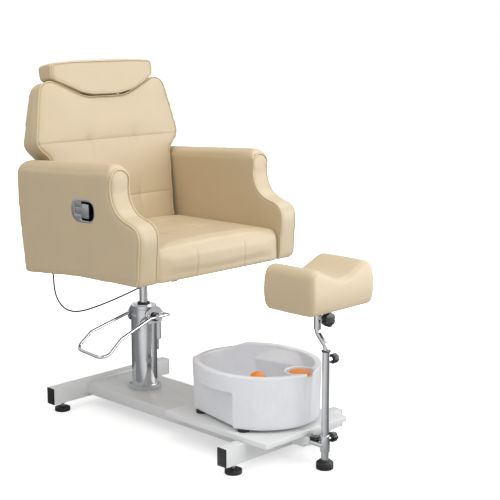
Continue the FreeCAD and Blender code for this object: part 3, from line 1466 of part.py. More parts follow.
# Leg rest base: flat bar in its receiver, clamp collar, post and rubber foot.
post_x = size("post_side")
post_y = size("post_y")
bar_blank = box("bar blank", "bar_width", "bar_rear_y - post_y", "bar_thickness", "post_side",
                "(bar_rear_y + post_y) / 2", "bar_bottom")
bar_end = bar("bar end cut", "clamp_radius", "clamp_top", "post_side", "post_y", "0")
node(cut("leg_slide_bar", bar_blank, [bar_end]))
receiver_length = "receiver_rear_y - receiver_front_y"
receiver = box("receiver block", "receiver_width", receiver_length, "receiver_height", "post_side",
               "(receiver_rear_y + receiver_front_y) / 2", "receiver_bottom")
receiver_slot = box("receiver slot", "bar_width + 2 * slide_clearance",
                    receiver_length + " + receiver_web",
                    "bar_thickness + 2 * slide_clearance", "post_side",
                    "(receiver_rear_y + receiver_front_y) / 2", "bar_bottom - slide_clearance")
lugs = [receiver]
for side in FORE_AND_AFT:
    lugs.append(box("receiver lug %d" % side, "receiver_lug", "receiver_lug_length + 2",
                    "receiver_lug_height",
                    "post_side + %d * (bar_lever_width / 2 + 0.5 + receiver_lug / 2 + 2)" % side,
                    "receiver_front_y - receiver_lug_length / 2 + 1",
                    "receiver_bottom + receiver_lug_rise"))
lever_pin = bar("bar lever pin", "bar_lever_pin_radius", "bar_lever_width + 2 * receiver_lug + 1",
                "post_side - bar_lever_width / 2 - receiver_lug - 0.5", "bar_lever_y",
                "bar_lever_height", "X")
node(fuse("bar_receiver", [cut("receiver with slot", fuse("receiver blank", lugs), [receiver_slot]),
                           lever_pin]))
collar = bar("collar blank", "clamp_radius", "clamp_top - clamp_bottom", "post_side", "post_y",
             "clamp_bottom")
collar_boss = bar("collar boss", "clamp_boss_radius", "clamp_radius + clamp_boss_length", "post_side",
                  "post_y", "clamp_knob_height", "X")
collar_bore = bar("collar bore", "post_radius", "clamp_top", "post_side", "post_y", "0")
knob_bore = bar("collar knob bore", "knob_bore", "2 * clamp_radius + clamp_boss_length", "post_side",
                "post_y", "clamp_knob_height", "X")
node(cut("post_clamp", fuse("collar with boss", [collar, collar_boss]), [collar_bore, knob_bore]))
post = bar("post blank", "post_radius", "post_top - post_bottom", "post_side", "post_y", "post_bottom")
height_boss = bar("height boss", "clamp_boss_radius", "post_radius + height_boss_length", "post_side",
                  "post_y", "height_knob_height", "X")
post_bore = bar("post bore", "post_bore", "post_top", "post_side", "post_y", "0")
height_bore = bar("height knob bore", "knob_bore", "2 * post_radius + height_boss_length", "post_side",
                  "post_y", "height_knob_height", "X")
node(cut("leg_post", fuse("post with boss", [post, height_boss]), [post_bore, height_bore]))
pad = bar("post pad", "post_foot_radius", "post_bottom - post_foot_step", "post_side", "post_y", "0")
pad_neck = bar("post pad neck", "post_foot_radius * 0.7", "post_bottom", "post_side", "post_y", "0")
pad_plug = bar("post pad plug", "post_bore - fit_clearance", "post_bottom + post_foot_plug", "post_side",
               "post_y", "0")
node(fuse("post_foot_pad", [pad, pad_neck, pad_plug]))

# Bush in the top of the post, bent tube that slides in it, and the padded leg rest.
bush = bar("bush liner", "post_bore - running_clearance", "bush_depth", "post_side", "post_y",
           "post_top - bush_depth")
bush_flange = bar("bush flange", "bush_flange_radius", "bush_flange", "post_side", "post_y",
                  "post_top + bush_flange_gap")
bush_neck = bar("bush neck", "post_bore - running_clearance", "3 * bush_flange_gap", "post_side",
                "post_y", "post_top - bush_flange_gap")
bush_bore = bar("bush bore", "bush_bore", "post_top + bush_depth", "post_side", "post_y", "0")
node(cut("post_bush", fuse("bush blank", [bush, bush_flange, bush_neck]), [bush_bore]))
doc.recompute()

leg_radius = size("leg_tube_radius")
sleeve_y = size("sleeve_y")
tube_points = [Vector(post_x, post_y, size("leg_tube_bottom")),
               Vector(post_x, post_y, size("post_top") + size("crook_rise")),
               Vector(post_x, sleeve_y, size("sleeve_bottom") - size("crook_drop")),
               Vector(post_x, sleeve_y, size("leg_tube_top"))]
tube_path, tube_radii = bent_path(tube_points, radius=size("leg_tube_bend_radius"))
leg_tube = tube_along(tube_path, leg_radius)
leg_tube = leg_tube.cut(tube_along(tube_path, leg_radius - size("leg_tube_wall")))
node(feature("leg_bent_tube", leg_tube))

sleeve = bar("sleeve blank", "sleeve_radius", "sleeve_top - sleeve_bottom", "post_side", "sleeve_y",
             "sleeve_bottom")
swivel_boss = bar("swivel boss", "swivel_boss_radius", "sleeve_radius + swivel_boss_length", "post_side",
                  "sleeve_y", "swivel_knob_height", "-Y")
leg_plate = box("leg plate", "leg_plate_width", "leg_plate_length", "leg_plate_thickness", "post_side",
                "sleeve_y", "sleeve_top")
sleeve_bore = bar("sleeve bore", "bush_bore", "leg_tube_top + 0.3 - sleeve_bottom + sleeve_cap",
                  "post_side", "sleeve_y", "sleeve_bottom - sleeve_cap")
swivel_bore = bar("swivel knob bore", "knob_bore", "2 * sleeve_radius + swivel_boss_length", "post_side",
                  "sleeve_y", "swivel_knob_height", "-Y")
node(cut("legrest_sleeve", fuse("sleeve with plate", [sleeve, swivel_boss, leg_plate]),
         [sleeve_bore, swivel_bore]))
leg_board = node(box("legrest_board", "leg_board_width", "leg_board_length", "leg_board_thickness",
                     "post_side", "sleeve_y", "leg_board_bottom"))
doc.recompute()
leg_half = size("leg_cushion_width") / 2
leg_low = size("leg_cushion_bottom")
leg_high = size("leg_cushion_corner")
valley = size("leg_cushion_valley")


def leg_profile(inset):
    """The leg rest seen from the front: two raised sides and a valley between them."""
    half = leg_half - inset
    low = leg_low + inset
    high = leg_high - inset
    dip = valley - inset
    shoulder = 24 - inset
    crest_x = 0.74 * leg_half
    dip_x = 0.16 * leg_half
    return [(post_x - half, low, 8), (post_x + half, low, 8), (post_x + half, high, shoulder),
            (post_x + crest_x, high, 38), (post_x + dip_x, dip, 85),
            (post_x - dip_x, dip, 85), (post_x - crest_x, high, 38),
            (post_x - half, high, shoulder)]


leg_front = sleeve_y - size("leg_cushion_length") / 2 - size("leg_cushion_forward")
leg_sections = []
for share, inset in ((0, 6), (0.06, 0), (0.5, -1), (0.94, 0), (1, 6)):
    at = leg_front + share * size("leg_cushion_length")
    leg_sections.append(rounded_wire(leg_profile(inset), lambda x, z, y=at: Vector(x, y, z)))
leg_cushion = Part.makeLoft(leg_sections, True, True)
board_width = size("leg_board_width")
board_length = size("leg_board_length")
plate_gap = size("leg_board_bottom") - leg_low
under_board = Part.makeBox(board_width, board_length, 2 * plate_gap,
                           Vector(post_x - board_width / 2, sleeve_y - board_length / 2,
                                  leg_low - plate_gap))
leg_cushion = leg_cushion.cut(leg_board.Shape).cut(under_board)
node(feature("legrest_cushion", leg_cushion))


def knob(radius, thickness, lobes, stem_length):
    """A lobed clamp knob on its stem: the stem starts at the origin and runs along z."""
    stem = Part.makeCylinder(size("knob_stem_radius"), stem_length + 2)
    hub = Part.makeCone(0.45 * radius, 0.6 * radius, 5, Vector(0, 0, stem_length))
    disc = Part.makeCylinder(radius, thickness, Vector(0, 0, stem_length + 4))
    for number in range(lobes):
        turn = 2 * math.pi * number / lobes
        notch_place = Vector(1.12 * radius * math.cos(turn), 1.12 * radius * math.sin(turn), stem_length)
        disc = disc.cut(Part.makeCylinder(0.25 * radius, thickness + 10, notch_place))
    return stem.fuse([hub, disc])


def place_knob(label, shape, x, y, z, along):
    item = node(feature(label, shape))
    item.Placement = FreeCAD.Placement(Vector(x, y, z), TURNS[along])


clamp_stem = size("clamp_radius") + size("clamp_boss_length") - size("post_radius")
end_gap = size("knob_end_gap")
clamp_knob = knob(size("knob_radius"), size("clamp_knob_thickness"), 6, clamp_stem)
place_knob("clamp_knob", clamp_knob, post_x + size("post_radius") + end_gap, post_y,
           size("clamp_knob_height"), "X")
height_stem = size("height_boss_length") + size("post_radius") - leg_radius
height_knob = knob(size("knob_radius"), size("height_knob_thickness"), 7, height_stem)
place_knob("height_knob", height_knob, post_x + leg_radius + end_gap, post_y,
           size("height_knob_height"), "X")
swivel_stem = size("swivel_boss_length") + size("sleeve_radius") - leg_radius
swivel_knob = knob(size("swivel_knob_radius"), size("swivel_knob_thickness"), 6, swivel_stem)
place_knob("swivel_knob", swivel_knob, post_x, sleeve_y - leg_radius - end_gap,
           size("swivel_knob_height"), "-Y")

# Cam lever that locks the bar: a hinged tongue with two humps.
cam_y = size("bar_lever_y")
cam_z = size("bar_lever_height")
cam_half = size("bar_lever_width") / 2
cam_length = size("bar_lever_length")
left = Vector(post_x - cam_half, 0, 0)
right = Vector(post_x + cam_half, 0, 0)
cam = round_bar(3.4, left + Vector(0, cam_y, cam_z), right + Vector(0, cam_y, cam_z))
for along, up, radius in ((7, 1.6, 5), (cam_length - 6, 2.6, 6)):
    centre = Vector(0, cam_y - along, cam_z + up)
    cam = cam.fuse(round_bar(radius, left + centre, right + centre))
web = Part.makeBox(2 * cam_half, cam_length - 6, 4,
                   Vector(post_x - cam_half, cam_y - cam_length + 6, cam_z - 2))
cam_bore = round_bar(size("bar_lever_pin_radius") + size("fit_clearance"),
                     Vector(post_x - 2 * cam_half, cam_y, cam_z), Vector(post_x + 2 * cam_half, cam_y, cam_z))
node(feature("bar_lock_lever", cam.fuse(web).cut(cam_bore).removeSplitter()))

# Foot basin: an oval tub with flat recessed sides under its lip, a divider and a control dial.
basin_x = size("basin_side")
basin_y = size("basin_y")
basin_low = size("basin_bottom")


def oval(z, half_width, half_length):
    ellipse = Part.Ellipse(Vector(basin_x, basin_y + half_length, z),
                           Vector(basin_x + half_width, basin_y, z), Vector(basin_x, basin_y, z))
    return Part.Wire([ellipse.toShape()])


half_width = size("basin_half_width")
half_length = size("basin_half_length")
rear_rim = size("basin_rear_rim")
front_rim = size("basin_front_rim")
outer = Part.makeLoft([oval(basin_low, 0.965 * half_width, 0.965 * half_length),
                       oval(basin_low + 8, 0.98 * half_width, 0.98 * half_length),
                       oval(rear_rim + 10, half_width, half_length)], True, True)
basin_front = basin_y - half_length
basin_rear = basin_y + half_length
above_rim = slab([(basin_front - 20, front_rim - 1, 0), (basin_y + 20, front_rim + 2, 200),
                  (basin_rear - 48, rear_rim + 6, 20), (basin_rear - 26, rear_rim - 4, 20),
                  (basin_rear + 20, rear_rim - 4, 0),
                  (basin_rear + 20, rear_rim + 60, 0), (basin_front - 20, rear_rim + 60, 0)],
                 on_side(basin_x - 2 * half_width), Vector(4 * half_width, 0, 0))
tub = outer.cut(above_rim)
wall = size("basin_wall")
floor = size("basin_floor")
bowl = Part.makeLoft([oval(floor, half_width - 2.4 * wall, half_length - 2.4 * wall),
                      oval(floor + 14, half_width - 1.9 * wall, half_length - 1.9 * wall),
                      oval(rear_rim + 20, half_width - wall, half_length - wall)], True, True)
# The bowl's sides and the recessed panels are straight lines that close towards the back. Beside
# the panels the bowl is narrower, and above them it widens to the rim.
bowl_front = size("bowl_front_half")
bowl_rear = size("bowl_rear_half")
bowl_low_front = size("bowl_low_front_half")
bowl_low_rear = size("bowl_low_rear_half")
lip_rise = size("basin_lip_rise")
widening = basin_low + lip_rise + size("basin_lip_wall")
closing_levels = [(floor - 5, bowl_low_front, bowl_low_rear), (widening, bowl_low_front, bowl_low_rear),
                  (rear_rim - 4, bowl_front, bowl_rear), (rear_rim + 20, bowl_front, bowl_rear)]
closing = []
for level, front_half, rear_half in closing_levels:
    corners = [(basin_x - front_half, basin_front, 0), (basin_x + front_half, basin_front, 0),
               (basin_x + rear_half, basin_rear, 0), (basin_x - rear_half, basin_rear, 0)]
    closing.append(rounded_wire(corners, on_level(level)))
straight = Part.makeLoft(closing, True, True)
panel_front = basin_y - size("panel_front_offset")
panel_rear = basin_y + size("panel_rear_offset")
tub = tub.cut(bowl.common(straight))
for side in FORE_AND_AFT:
    past_side = basin_x + side * 2 * half_width
    panel_corners = [(basin_x + side * size("panel_rear_half"), panel_rear, 0),
                     (basin_x + side * size("panel_front_half"), panel_front, 0),
                     (past_side, panel_front, 0), (past_side, panel_rear, 0)]
    recess = slab(panel_corners, on_level(basin_low - 5), Vector(0, 0, lip_rise + 5))
    tub = tub.cut(recess)
divider_top = size("divider_top")
dome_y = size("dome_y")
divider_half = size("divider_width") / 2
divider = Part.makeBox(2 * divider_half, dome_y - basin_front - 10, divider_top - floor + 5,
                       Vector(basin_x - divider_half, basin_front + 10, floor - 5))
dome_radius = size("dome_radius")
divider_end = Part.makeCylinder(dome_radius + size("divider_end_wall"), divider_top - floor + 5,
                                Vector(basin_x, dome_y, floor - 5))
dial_x = size("dial_side")
dial_y = size("dial_y")
dial_boss = Part.makeCylinder(size("dial_boss_radius"), size("dial_boss_top") - floor + 5,
                              Vector(dial_x, dial_y, floor - 5))
tub = tub.fuse([divider.common(outer), divider_end, dial_boss.common(outer)])
pocket_floor = size("dial_pocket_floor")
pocket = Part.makeCylinder(size("dial_pocket_radius"), 60, Vector(dial_x, dial_y, pocket_floor))
shaft_radius = size("dial_shaft_radius")
shaft_length = size("dial_shaft_length")
shaft_bore = Part.makeCylinder(shaft_radius + size("running_clearance"), shaft_length + 2,
                               Vector(dial_x, dial_y, pocket_floor - shaft_length - 1))
peg_length = size("dome_peg_length")
dome_bore = Part.makeCylinder(shaft_radius + size("running_clearance"), peg_length + 2,
                              Vector(basin_x, dome_y, divider_top - peg_length - 1))
flute = Part.makeCylinder(size("flute_radius"), rear_rim,
                          Vector(size("flute_side"), basin_front - size("flute_setback"), basin_low - 5))
tub = tub.cut(pocket).cut(shaft_bore).cut(dome_bore).cut(flute)
node(feature("basin_tub", tub.removeSplitter()))

dial_radius = size("dial_radius")
dial_low = pocket_floor + size("dial_gap")
dial = Part.makeCylinder(dial_radius, size("dial_thickness"), Vector(dial_x, dial_y, dial_low))
tab_width = size("dial_tab_width")
tab_length = size("dial_tab_length")
dial_tab = Part.makeBox(tab_width, tab_length, size("dial_thickness"),
                        Vector(dial_x - tab_width / 2, dial_y - dial_radius - tab_length + 1, dial_low))
dial_shaft = Part.makeCylinder(shaft_radius, shaft_length, Vector(dial_x, dial_y, dial_low - shaft_length))
node(feature("basin_dial", dial.fuse([dial_tab, dial_shaft])))
dome_gap = size("dome_gap")
dome_height = size("dome_height") - dome_gap
sphere_radius = (dome_radius ** 2 + dome_height ** 2) / (2 * dome_height)
dome_low = divider_top + dome_gap
sphere = Part.makeSphere(sphere_radius, Vector(basin_x, dome_y, dome_low + dome_height - sphere_radius))
keep = Part.makeCylinder(2 * dome_radius, 2 * dome_radius, Vector(basin_x, dome_y, dome_low))
dome_peg = Part.makeCylinder(shaft_radius, peg_length + 1, Vector(basin_x, dome_y, dome_low - peg_length))
node(feature("basin_dome", sphere.common(keep).fuse(dome_peg)))

feet = []
for end, sign in (("front", "-"), ("rear", "+")):
    for side in FORE_AND_AFT:
        name = "basin %s foot %d" % (end, side)
        feet.append(bar(name, "basin_foot_radius", "basin_foot_height",
                        "basin_side + %d * basin_%s_foot_half" % (side, end),
                        "basin_y %s basin_%s_foot_offset" % (sign, end), "tray_top"))
node(group("basin_feet", feet))

doc.recompute()
for item in doc.Objects:
    if "Invalid" in item.State or "Error" in item.State:
        raise RuntimeError("%s failed: %s" % (item.Label, item.State))
for item in nodes:
    if item.Shape.isNull() or not item.Shape.isValid():
        raise RuntimeError("%s has no valid shape" % item.Label)
os.makedirs("parts", exist_ok=True)
whole = FreeCAD.BoundBox()
for item in nodes:
    item.Shape.exportStep("parts/%s.step" % item.Label)
    whole.add(item.Shape.BoundBox)
print(len(nodes), "sub-parts")
print("extent x %.1f %.1f  y %.1f %.1f  z %.1f %.1f" % (whole.XMin, whole.XMax, whole.YMin,
                                                     whole.YMax, whole.ZMin, whole.ZMax))
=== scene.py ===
import json
import math

import bmesh
import bpy
import numpy as np
from mathutils import Euler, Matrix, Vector
from mathutils.bvhtree import BVHTree
from mathutils.kdtree import KDTree


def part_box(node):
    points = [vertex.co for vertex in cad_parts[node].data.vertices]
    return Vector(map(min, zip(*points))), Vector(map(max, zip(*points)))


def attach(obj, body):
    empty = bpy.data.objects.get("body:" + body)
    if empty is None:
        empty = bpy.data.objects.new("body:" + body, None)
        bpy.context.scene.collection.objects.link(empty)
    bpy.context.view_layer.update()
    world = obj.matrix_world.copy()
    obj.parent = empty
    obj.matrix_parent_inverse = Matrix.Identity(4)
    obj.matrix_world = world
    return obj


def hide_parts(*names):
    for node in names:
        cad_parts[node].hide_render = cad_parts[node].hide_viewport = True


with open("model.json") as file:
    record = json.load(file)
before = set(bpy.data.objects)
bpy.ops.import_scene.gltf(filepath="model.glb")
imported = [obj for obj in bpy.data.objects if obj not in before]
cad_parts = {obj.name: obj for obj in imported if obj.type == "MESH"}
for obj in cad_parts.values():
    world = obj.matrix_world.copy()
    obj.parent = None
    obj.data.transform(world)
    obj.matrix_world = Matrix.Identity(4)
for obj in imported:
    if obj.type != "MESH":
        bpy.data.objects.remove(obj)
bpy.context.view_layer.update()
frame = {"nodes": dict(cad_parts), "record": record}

bl_info = {
    "name": "Pedicure Spa Chair",
    "version": (1, 0, 0),
    "blender": (4, 5, 0),
    "location": "3D View > Sidebar > Spa Chair",
    "description": "Dresses a packed pedicure chair with covers, coatings and a studio",
    "category": "Add Mesh",
}

ROD_LOW, ROD_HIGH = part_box("piston_rod")
COLUMN_Y = (ROD_LOW.y + ROD_HIGH.y) / 2
SEAT_LOW, SEAT_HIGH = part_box("seat_cushion")
ARM_LOW, ARM_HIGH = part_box("left_arm_cushion")
MM = 0.001
BACKWARDS = (0, 1, 0)


# Sizes and colours that a user would change.


class ChairSizes(bpy.types.PropertyGroup):
    """Sizes that set how the covers and the basin are made."""

    piping: bpy.props.FloatProperty(
        name="Piping radius", description="Radius of the welt cord sewn along the cover's edges",
        default=0.0028, unit="LENGTH")
    arm_swell: bpy.props.FloatProperty(
        name="Arm swell", description="How far the arm cover may swell over its foam",
        default=0.003, unit="LENGTH")
    seat_swell: bpy.props.FloatProperty(
        name="Seat swell", description="How far the seat cover may swell over its foam",
        default=0.005, unit="LENGTH")
    back_swell: bpy.props.FloatProperty(
        name="Back swell", description="How far the back cover may swell over its foam",
        default=0.005, unit="LENGTH")
    tuft_depth: bpy.props.FloatProperty(
        name="Tuft depth", description="How deep a sewn tuft draws the cover in",
        default=0.0035, unit="LENGTH")
    grain: bpy.props.FloatProperty(
        name="Leather grain", description="Width of one pebble of the embossed grain",
        default=0.0016, unit="LENGTH")
    shell_net: bpy.props.FloatProperty(
        name="Basin net", description="Size of the basin's faces, which sets how soft its edges are",
        default=0.0027, unit="LENGTH")


class ChairColours(bpy.types.PropertyGroup):
    """Colours as sRGB hex values."""

    cover: bpy.props.StringProperty(
        name="Cover", description="Beige coated upholstery fabric", default="#CAB693")
    piping: bpy.props.StringProperty(
        name="Piping", description="Welt cord in the cover's own colour", default="#D0BB96")
    steel: bpy.props.StringProperty(
        name="Base", description="White powder coat of the base", default="#E6E7E7")
    basin: bpy.props.StringProperty(
        name="Basin", description="White acrylic of the foot basin", default="#E9EAEE")
    accent: bpy.props.StringProperty(
        name="Accent", description="Orange plastic of the basin's controls", default="#F48C00")
    floor: bpy.props.StringProperty(
        name="Floor", description="Pale studio floor and backdrop", default="#F6F6F6")


# Materials.


def hex_colour(text):
    """Turns an sRGB hex value to the linear colour that the shaders take."""
    values = [int(text[place:place + 2], 16) / 255 for place in (1, 3, 5)]
    linear = [v / 12.92 if v <= 0.04045 else ((v + 0.055) / 1.055) ** 2.4 for v in values]
    return (*linear, 1.0)


WHITE = hex_colour("#FFFFFF")


def add_node(tree, kind, inputs=None, **settings):
    """Adds one node with its settings; an input is a plain value or another node's output."""
    made = tree.nodes.new(kind)
    for name, value in settings.items():
        setattr(made, name, value)
    for name, value in (inputs or {}).items():
        if isinstance(value, bpy.types.NodeSocket):
            tree.links.new(value, made.inputs[name])
        else:
            made.inputs[name].default_value = value
    return made


def new_finish(name):
    """An empty material with its object coordinates, shader and output in place."""
    finish = bpy.data.materials.new(name)
    finish.use_nodes = True
    tree = finish.node_tree
    tree.nodes.clear()
    place = add_node(tree, "ShaderNodeTexCoord").outputs["Object"]
    shader = add_node(tree, "ShaderNodeBsdfPrincipled")
    add_node(tree, "ShaderNodeOutputMaterial", {"Surface": shader.outputs["BSDF"]})
    return finish, tree, place, shader


def shade_between(tree, amount, dark, light):
    """A colour between two hex colours, by an amount from 0 to 1."""
    mixed = add_node(tree, "ShaderNodeMix", {"Factor": amount}, data_type="RGBA")
    mixed.inputs["A"].default_value = hex_colour(dark)
    mixed.inputs["B"].default_value = hex_colour(light)
    return mixed.outputs["Result"]


def range_of(tree, value, low, high):
    """A value from 0 to 1 spread between a low and a high one."""
    spread = add_node(tree, "ShaderNodeMapRange", {"Value": value})
    spread.inputs["To Min"].default_value = low
    spread.inputs["To Max"].default_value = high
    return spread.outputs["Result"]


def blotches(tree, place, size, detail=3.0, roughness=0.5):
    """Soft noise whose blotches are the given size across, in metres."""
    noise = add_node(tree, "ShaderNodeTexNoise", {"Vector": place, "Scale": 1 / size,
                                                  "Detail": detail, "Roughness": roughness})
    return noise.outputs["Fac"]


def surfaced(tree, shader, colour, roughness, height=None, strength=0.0, depth=0.0):
    """Gives a shader its colour and roughness, and bumps from a height where there is one."""
    tree.links.new(colour, shader.inputs["Base Color"])
    tree.links.new(roughness, shader.inputs["Roughness"])
    if height:
        bump = add_node(tree, "ShaderNodeBump", {"Strength": strength, "Distance": depth,
                                                 "Height": height})
        tree.links.new(bump.outputs["Normal"], shader.inputs["Normal"])


def darker(text, share):
    """A hex colour with part of its light taken away."""
    return "#" + "".join("%02X" % round(int(text[p:p + 2], 16) * (1 - share)) for p in (1, 3, 5))


def coated_fabric(name, colour, grain):
    """PVC-coated knit: an embossed pebble grain with fine pores under a satin skin."""
    finish, tree, place, shader = new_finish(name)
    pebble = add_node(tree, "ShaderNodeTexVoronoi", {"Vector": place, "Scale": 1 / grain},
                      feature="F1").outputs["Distance"]
    pore = blotches(tree, place, grain * 0.35, 2.0)
    cloud = blotches(tree, place, 0.11, 4.0)
    mixed = add_node(tree, "ShaderNodeMath", {0: pebble, 1: pore}, operation="ADD").outputs[0]
    surfaced(tree, shader, shade_between(tree, cloud, darker(colour, 0.05), colour),
             range_of(tree, pebble, 0.5, 0.6), mixed, 0.14, 0.0003)
    shader.inputs["IOR"].default_value = 1.5
    shader.inputs["Specular IOR Level"].default_value = 0.8
    return finish


def chrome_plate(name):
    """Bright chrome on polished tube: near-mirror, with the faint haze that polishing leaves."""
    finish, tree, place, shader = new_finish(name)
    haze = blotches(tree, place, 0.03, 4.0)
    surfaced(tree, shader, shade_between(tree, haze, "#C9CBCE", "#DCDDE0"),
             range_of(tree, haze, 0.06, 0.14))
    shader.inputs["Metallic"].default_value = 1.0
    return finish


def brushed_metal(name, dark, light, roughness, along=(1, 1, 12)):
    """Plated steel brushed one way: fine streaks that stretch the highlights."""
    finish, tree, place, shader = new_finish(name)
    stretched = add_node(tree, "ShaderNodeMapping", {"Vector": place}).outputs["Vector"]
    stretched.node.inputs["Scale"].default_value = along
    streak = blotches(tree, stretched, 0.0012, 3.0)
    surfaced(tree, shader, shade_between(tree, streak, dark, light),
             range_of(tree, streak, roughness - 0.06, roughness + 0.08), streak, 0.1, 0.0001)
    shader.inputs["Metallic"].default_value = 1.0
    return finish


def powder_coat(name, colour, roughness=0.4, coat=0.15):
    """Baked powder on sheet steel: a hard gloss with a slight orange peel."""
    finish, tree, place, shader = new_finish(name)
    peel = blotches(tree, place, 0.0022, 2.0)
    dust = blotches(tree, place, 0.08, 4.0)
    surfaced(tree, shader, shade_between(tree, dust, darker(colour, 0.04), colour),
             range_of(tree, dust, roughness, roughness + 0.12), peel, 0.12, 0.0002)
    shader.inputs["Coat Weight"].default_value = coat
    shader.inputs["Coat Roughness"].default_value = 0.2
    return finish


def moulded_plastic(name, colour, roughness, texture=0.0009, strength=0.15, coat=0.0):
    """Injection-moulded plastic: an even skin with the mould's fine spark texture."""
    finish, tree, place, shader = new_finish(name)
    spark = blotches(tree, place, texture, 2.0)
    flow = blotches(tree, place, 0.05, 3.0)
    surfaced(tree, shader, shade_between(tree, flow, darker(colour, 0.06), colour),
             range_of(tree, spark, roughness, roughness + 0.1), spark, strength, 0.0002)
    shader.inputs["IOR"].default_value = 1.5
    shader.inputs["Coat Weight"].default_value = coat
    shader.inputs["Coat Roughness"].default_value = 0.05
    return finish


def birch_plywood(name):
    """Rotary-cut birch ply: pale veneers with dark glue lines on the sawn edges."""
    finish, tree, place, shader = new_finish(name)
    plies = add_node(tree, "ShaderNodeTexWave", {"Vector": place, "Scale": 110.0, "Distortion": 0.4},
                     bands_direction="Z").outputs["Fac"]
    grain = blotches(tree, place, 0.006, 5.0, 0.7)
    both = add_node(tree, "ShaderNodeMath", {0: plies, 1: grain}, operation="MULTIPLY").outputs[0]
    surfaced(tree, shader, shade_between(tree, both, "#9C7A4E", "#D9BE92"),
             range_of(tree, grain, 0.55, 0.75))
    return finish


def make_finishes(colours, sizes):
    """All of the chair's finishes by the record's slot."""
    return {
        "upholstery": coated_fabric("coated_upholstery_fabric", colours.cover, sizes.grain),
        "piping": coated_fabric("coated_welt_cord", colours.piping, sizes.grain),
        "white_coat": powder_coat("white_powder_coat", colours.steel),
        "grey_coat": powder_coat("grey_powder_coat", "#C6C8CB", 0.36),
        "chrome_plate": chrome_plate("bright_chrome_plate"),
        "zinc_steel": brushed_metal("zinc_plated_steel", "#8F9296", "#C2C5C8", 0.34),
        "satin_nickel": brushed_metal("satin_nickel_plate", "#A9ABAE", "#D2D3D5", 0.36, (1, 14, 1)),
        "dark_steel": powder_coat("satin_black_powder_coat", "#1D1E20", 0.42, 0.1),
        "black_rubber": moulded_plastic("moulded_nitrile_rubber", "#17181A", 0.55, 0.0012, 0.3),
        "black_plastic": moulded_plastic("moulded_black_nylon", "#131416", 0.34, 0.0010, 0.2),
        "plywood": birch_plywood("birch_plywood"),
        "white_shell": moulded_plastic("vacuum_formed_white_acrylic", colours.basin, 0.38, 0.004, 0.03,
                                       0.1),
        "orange_plastic": moulded_plastic("moulded_orange_polypropylene", colours.accent, 0.5, 0.001, 0.1),
        "cable_jacket": moulded_plastic("extruded_pvc_jacket", "#101113", 0.38, 0.0008, 0.1),
        # The seam line is darker than the cover: the thread's own colour plus painted shade of the seam's
        # groove.
        "thread_and_seam_shade": coated_fabric("seam_line_painted_shade", "#AD9874", sizes.grain),
    }


# Modelling.

# Every finish by its slot, once main has made them.
FINISHES = {}
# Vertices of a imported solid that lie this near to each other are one.
MERGE_WITHIN = 0.00002
# How far before a piece a point sets off when it is laid on it.
RUN_UP = 0.3
THREAD_RADIUS = 0.0007
# The foam: its push, its steps in time, how far inside the cover it starts as a share of the
# swell, and the smoothing of what it leaves.
FOAM_PRESSURE = 4.0
FOAM_STEPS = 20
FOAM_SLACK = 0.3
FOAM_SMOOTHING = 8


def select_nothing():
    bpy.ops.object.select_all(action="DESELECT")


def select_only(piece):
    select_nothing()
    piece.select_set(True)
    bpy.context.view_layer.objects.active = piece


def finish_with(piece, kind, **settings):
    """Adds one modifier, sets it and applies it."""
    select_only(piece)
    modifier = piece.modifiers.new(kind.title(), kind)
    for name, value in settings.items():
        setattr(modifier, name, value)
    bpy.ops.object.modifier_apply(modifier=modifier.name)


def copy_of(node, name):
    """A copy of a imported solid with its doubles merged, to be finished further."""
    mesh = frame["nodes"][node].data.copy()
    piece = bpy.data.objects.new(name, mesh)
    bpy.context.scene.collection.objects.link(piece)
    mesh.materials.clear()
    work = bmesh.new()
    work.from_mesh(mesh)
    bmesh.ops.remove_doubles(work, verts=work.verts, dist=MERGE_WITHIN)
    work.to_mesh(mesh)
    work.free()
    return piece


def points_of(piece, what="co"):
    """A row for each vertex with its place, or with another three values that it holds."""
    flat = np.zeros(len(piece.data.vertices) * 3, np.float64)
    piece.data.vertices.foreach_get(what, flat)
    return flat.reshape(-1, 3)


def normals_of(piece):
    return points_of(piece, "normal")


def set_points(piece, points):
    piece.data.vertices.foreach_set("co", points.astype(np.float64).ravel())
    piece.data.update()


def smooth_shaded(piece, angle=60):
    """Shades a piece smooth, save at edges sharper than the angle."""
    select_only(piece)
    bpy.ops.object.shade_smooth_by_angle(angle=math.radians(angle))


def dress(piece, finish, body, nodes):
    """Gives a piece its finish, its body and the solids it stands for."""
    piece.data.materials.clear()
    piece.data.materials.append(FINISHES[finish])
    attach(piece, body)
    if nodes:
        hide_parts(*nodes)


def rounded_line(corners, steps):
    """Points round a closed outline whose corners, each with its radius, are rounded."""
    count = len(corners)
    points = []
    for number, (across, up, radius) in enumerate(corners):
        here = Vector((across, up))
        inward = (here - Vector(corners[number - 1][:2])).normalized()
        onward = (Vector(corners[(number + 1) % count][:2]) - here).normalized()
        reach = radius * math.tan(inward.angle(onward) / 2)
        first = here - inward * reach
        last = here + onward * reach
        for step in range(steps + 1):
            share = step / steps
            points.append(first.lerp(here, share).lerp(here.lerp(last, share), share))
    return points


def evenly(points, gap=0.004, closed=False):
    """The same line with its points a steady gap apart."""
    line = [Vector(p) for p in points]
    if closed:
        line.append(line[0].copy())
    lengths = [0.0]
    for first, second in zip(line, line[1:]):
        lengths.append(lengths[-1] + (second - first).length)
    count = max(2, round(lengths[-1] / gap))
    made = []
    at = 0
    for number in range(count + (0 if closed else 1)):
        reach = lengths[-1] * number / count
        while at < len(lengths) - 2 and lengths[at + 1] < reach:
            at += 1
        span = lengths[at + 1] - lengths[at]
        share = 0 if span == 0 else (reach - lengths[at]) / span
        made.append(line[at].lerp(line[at + 1], share))
    return made


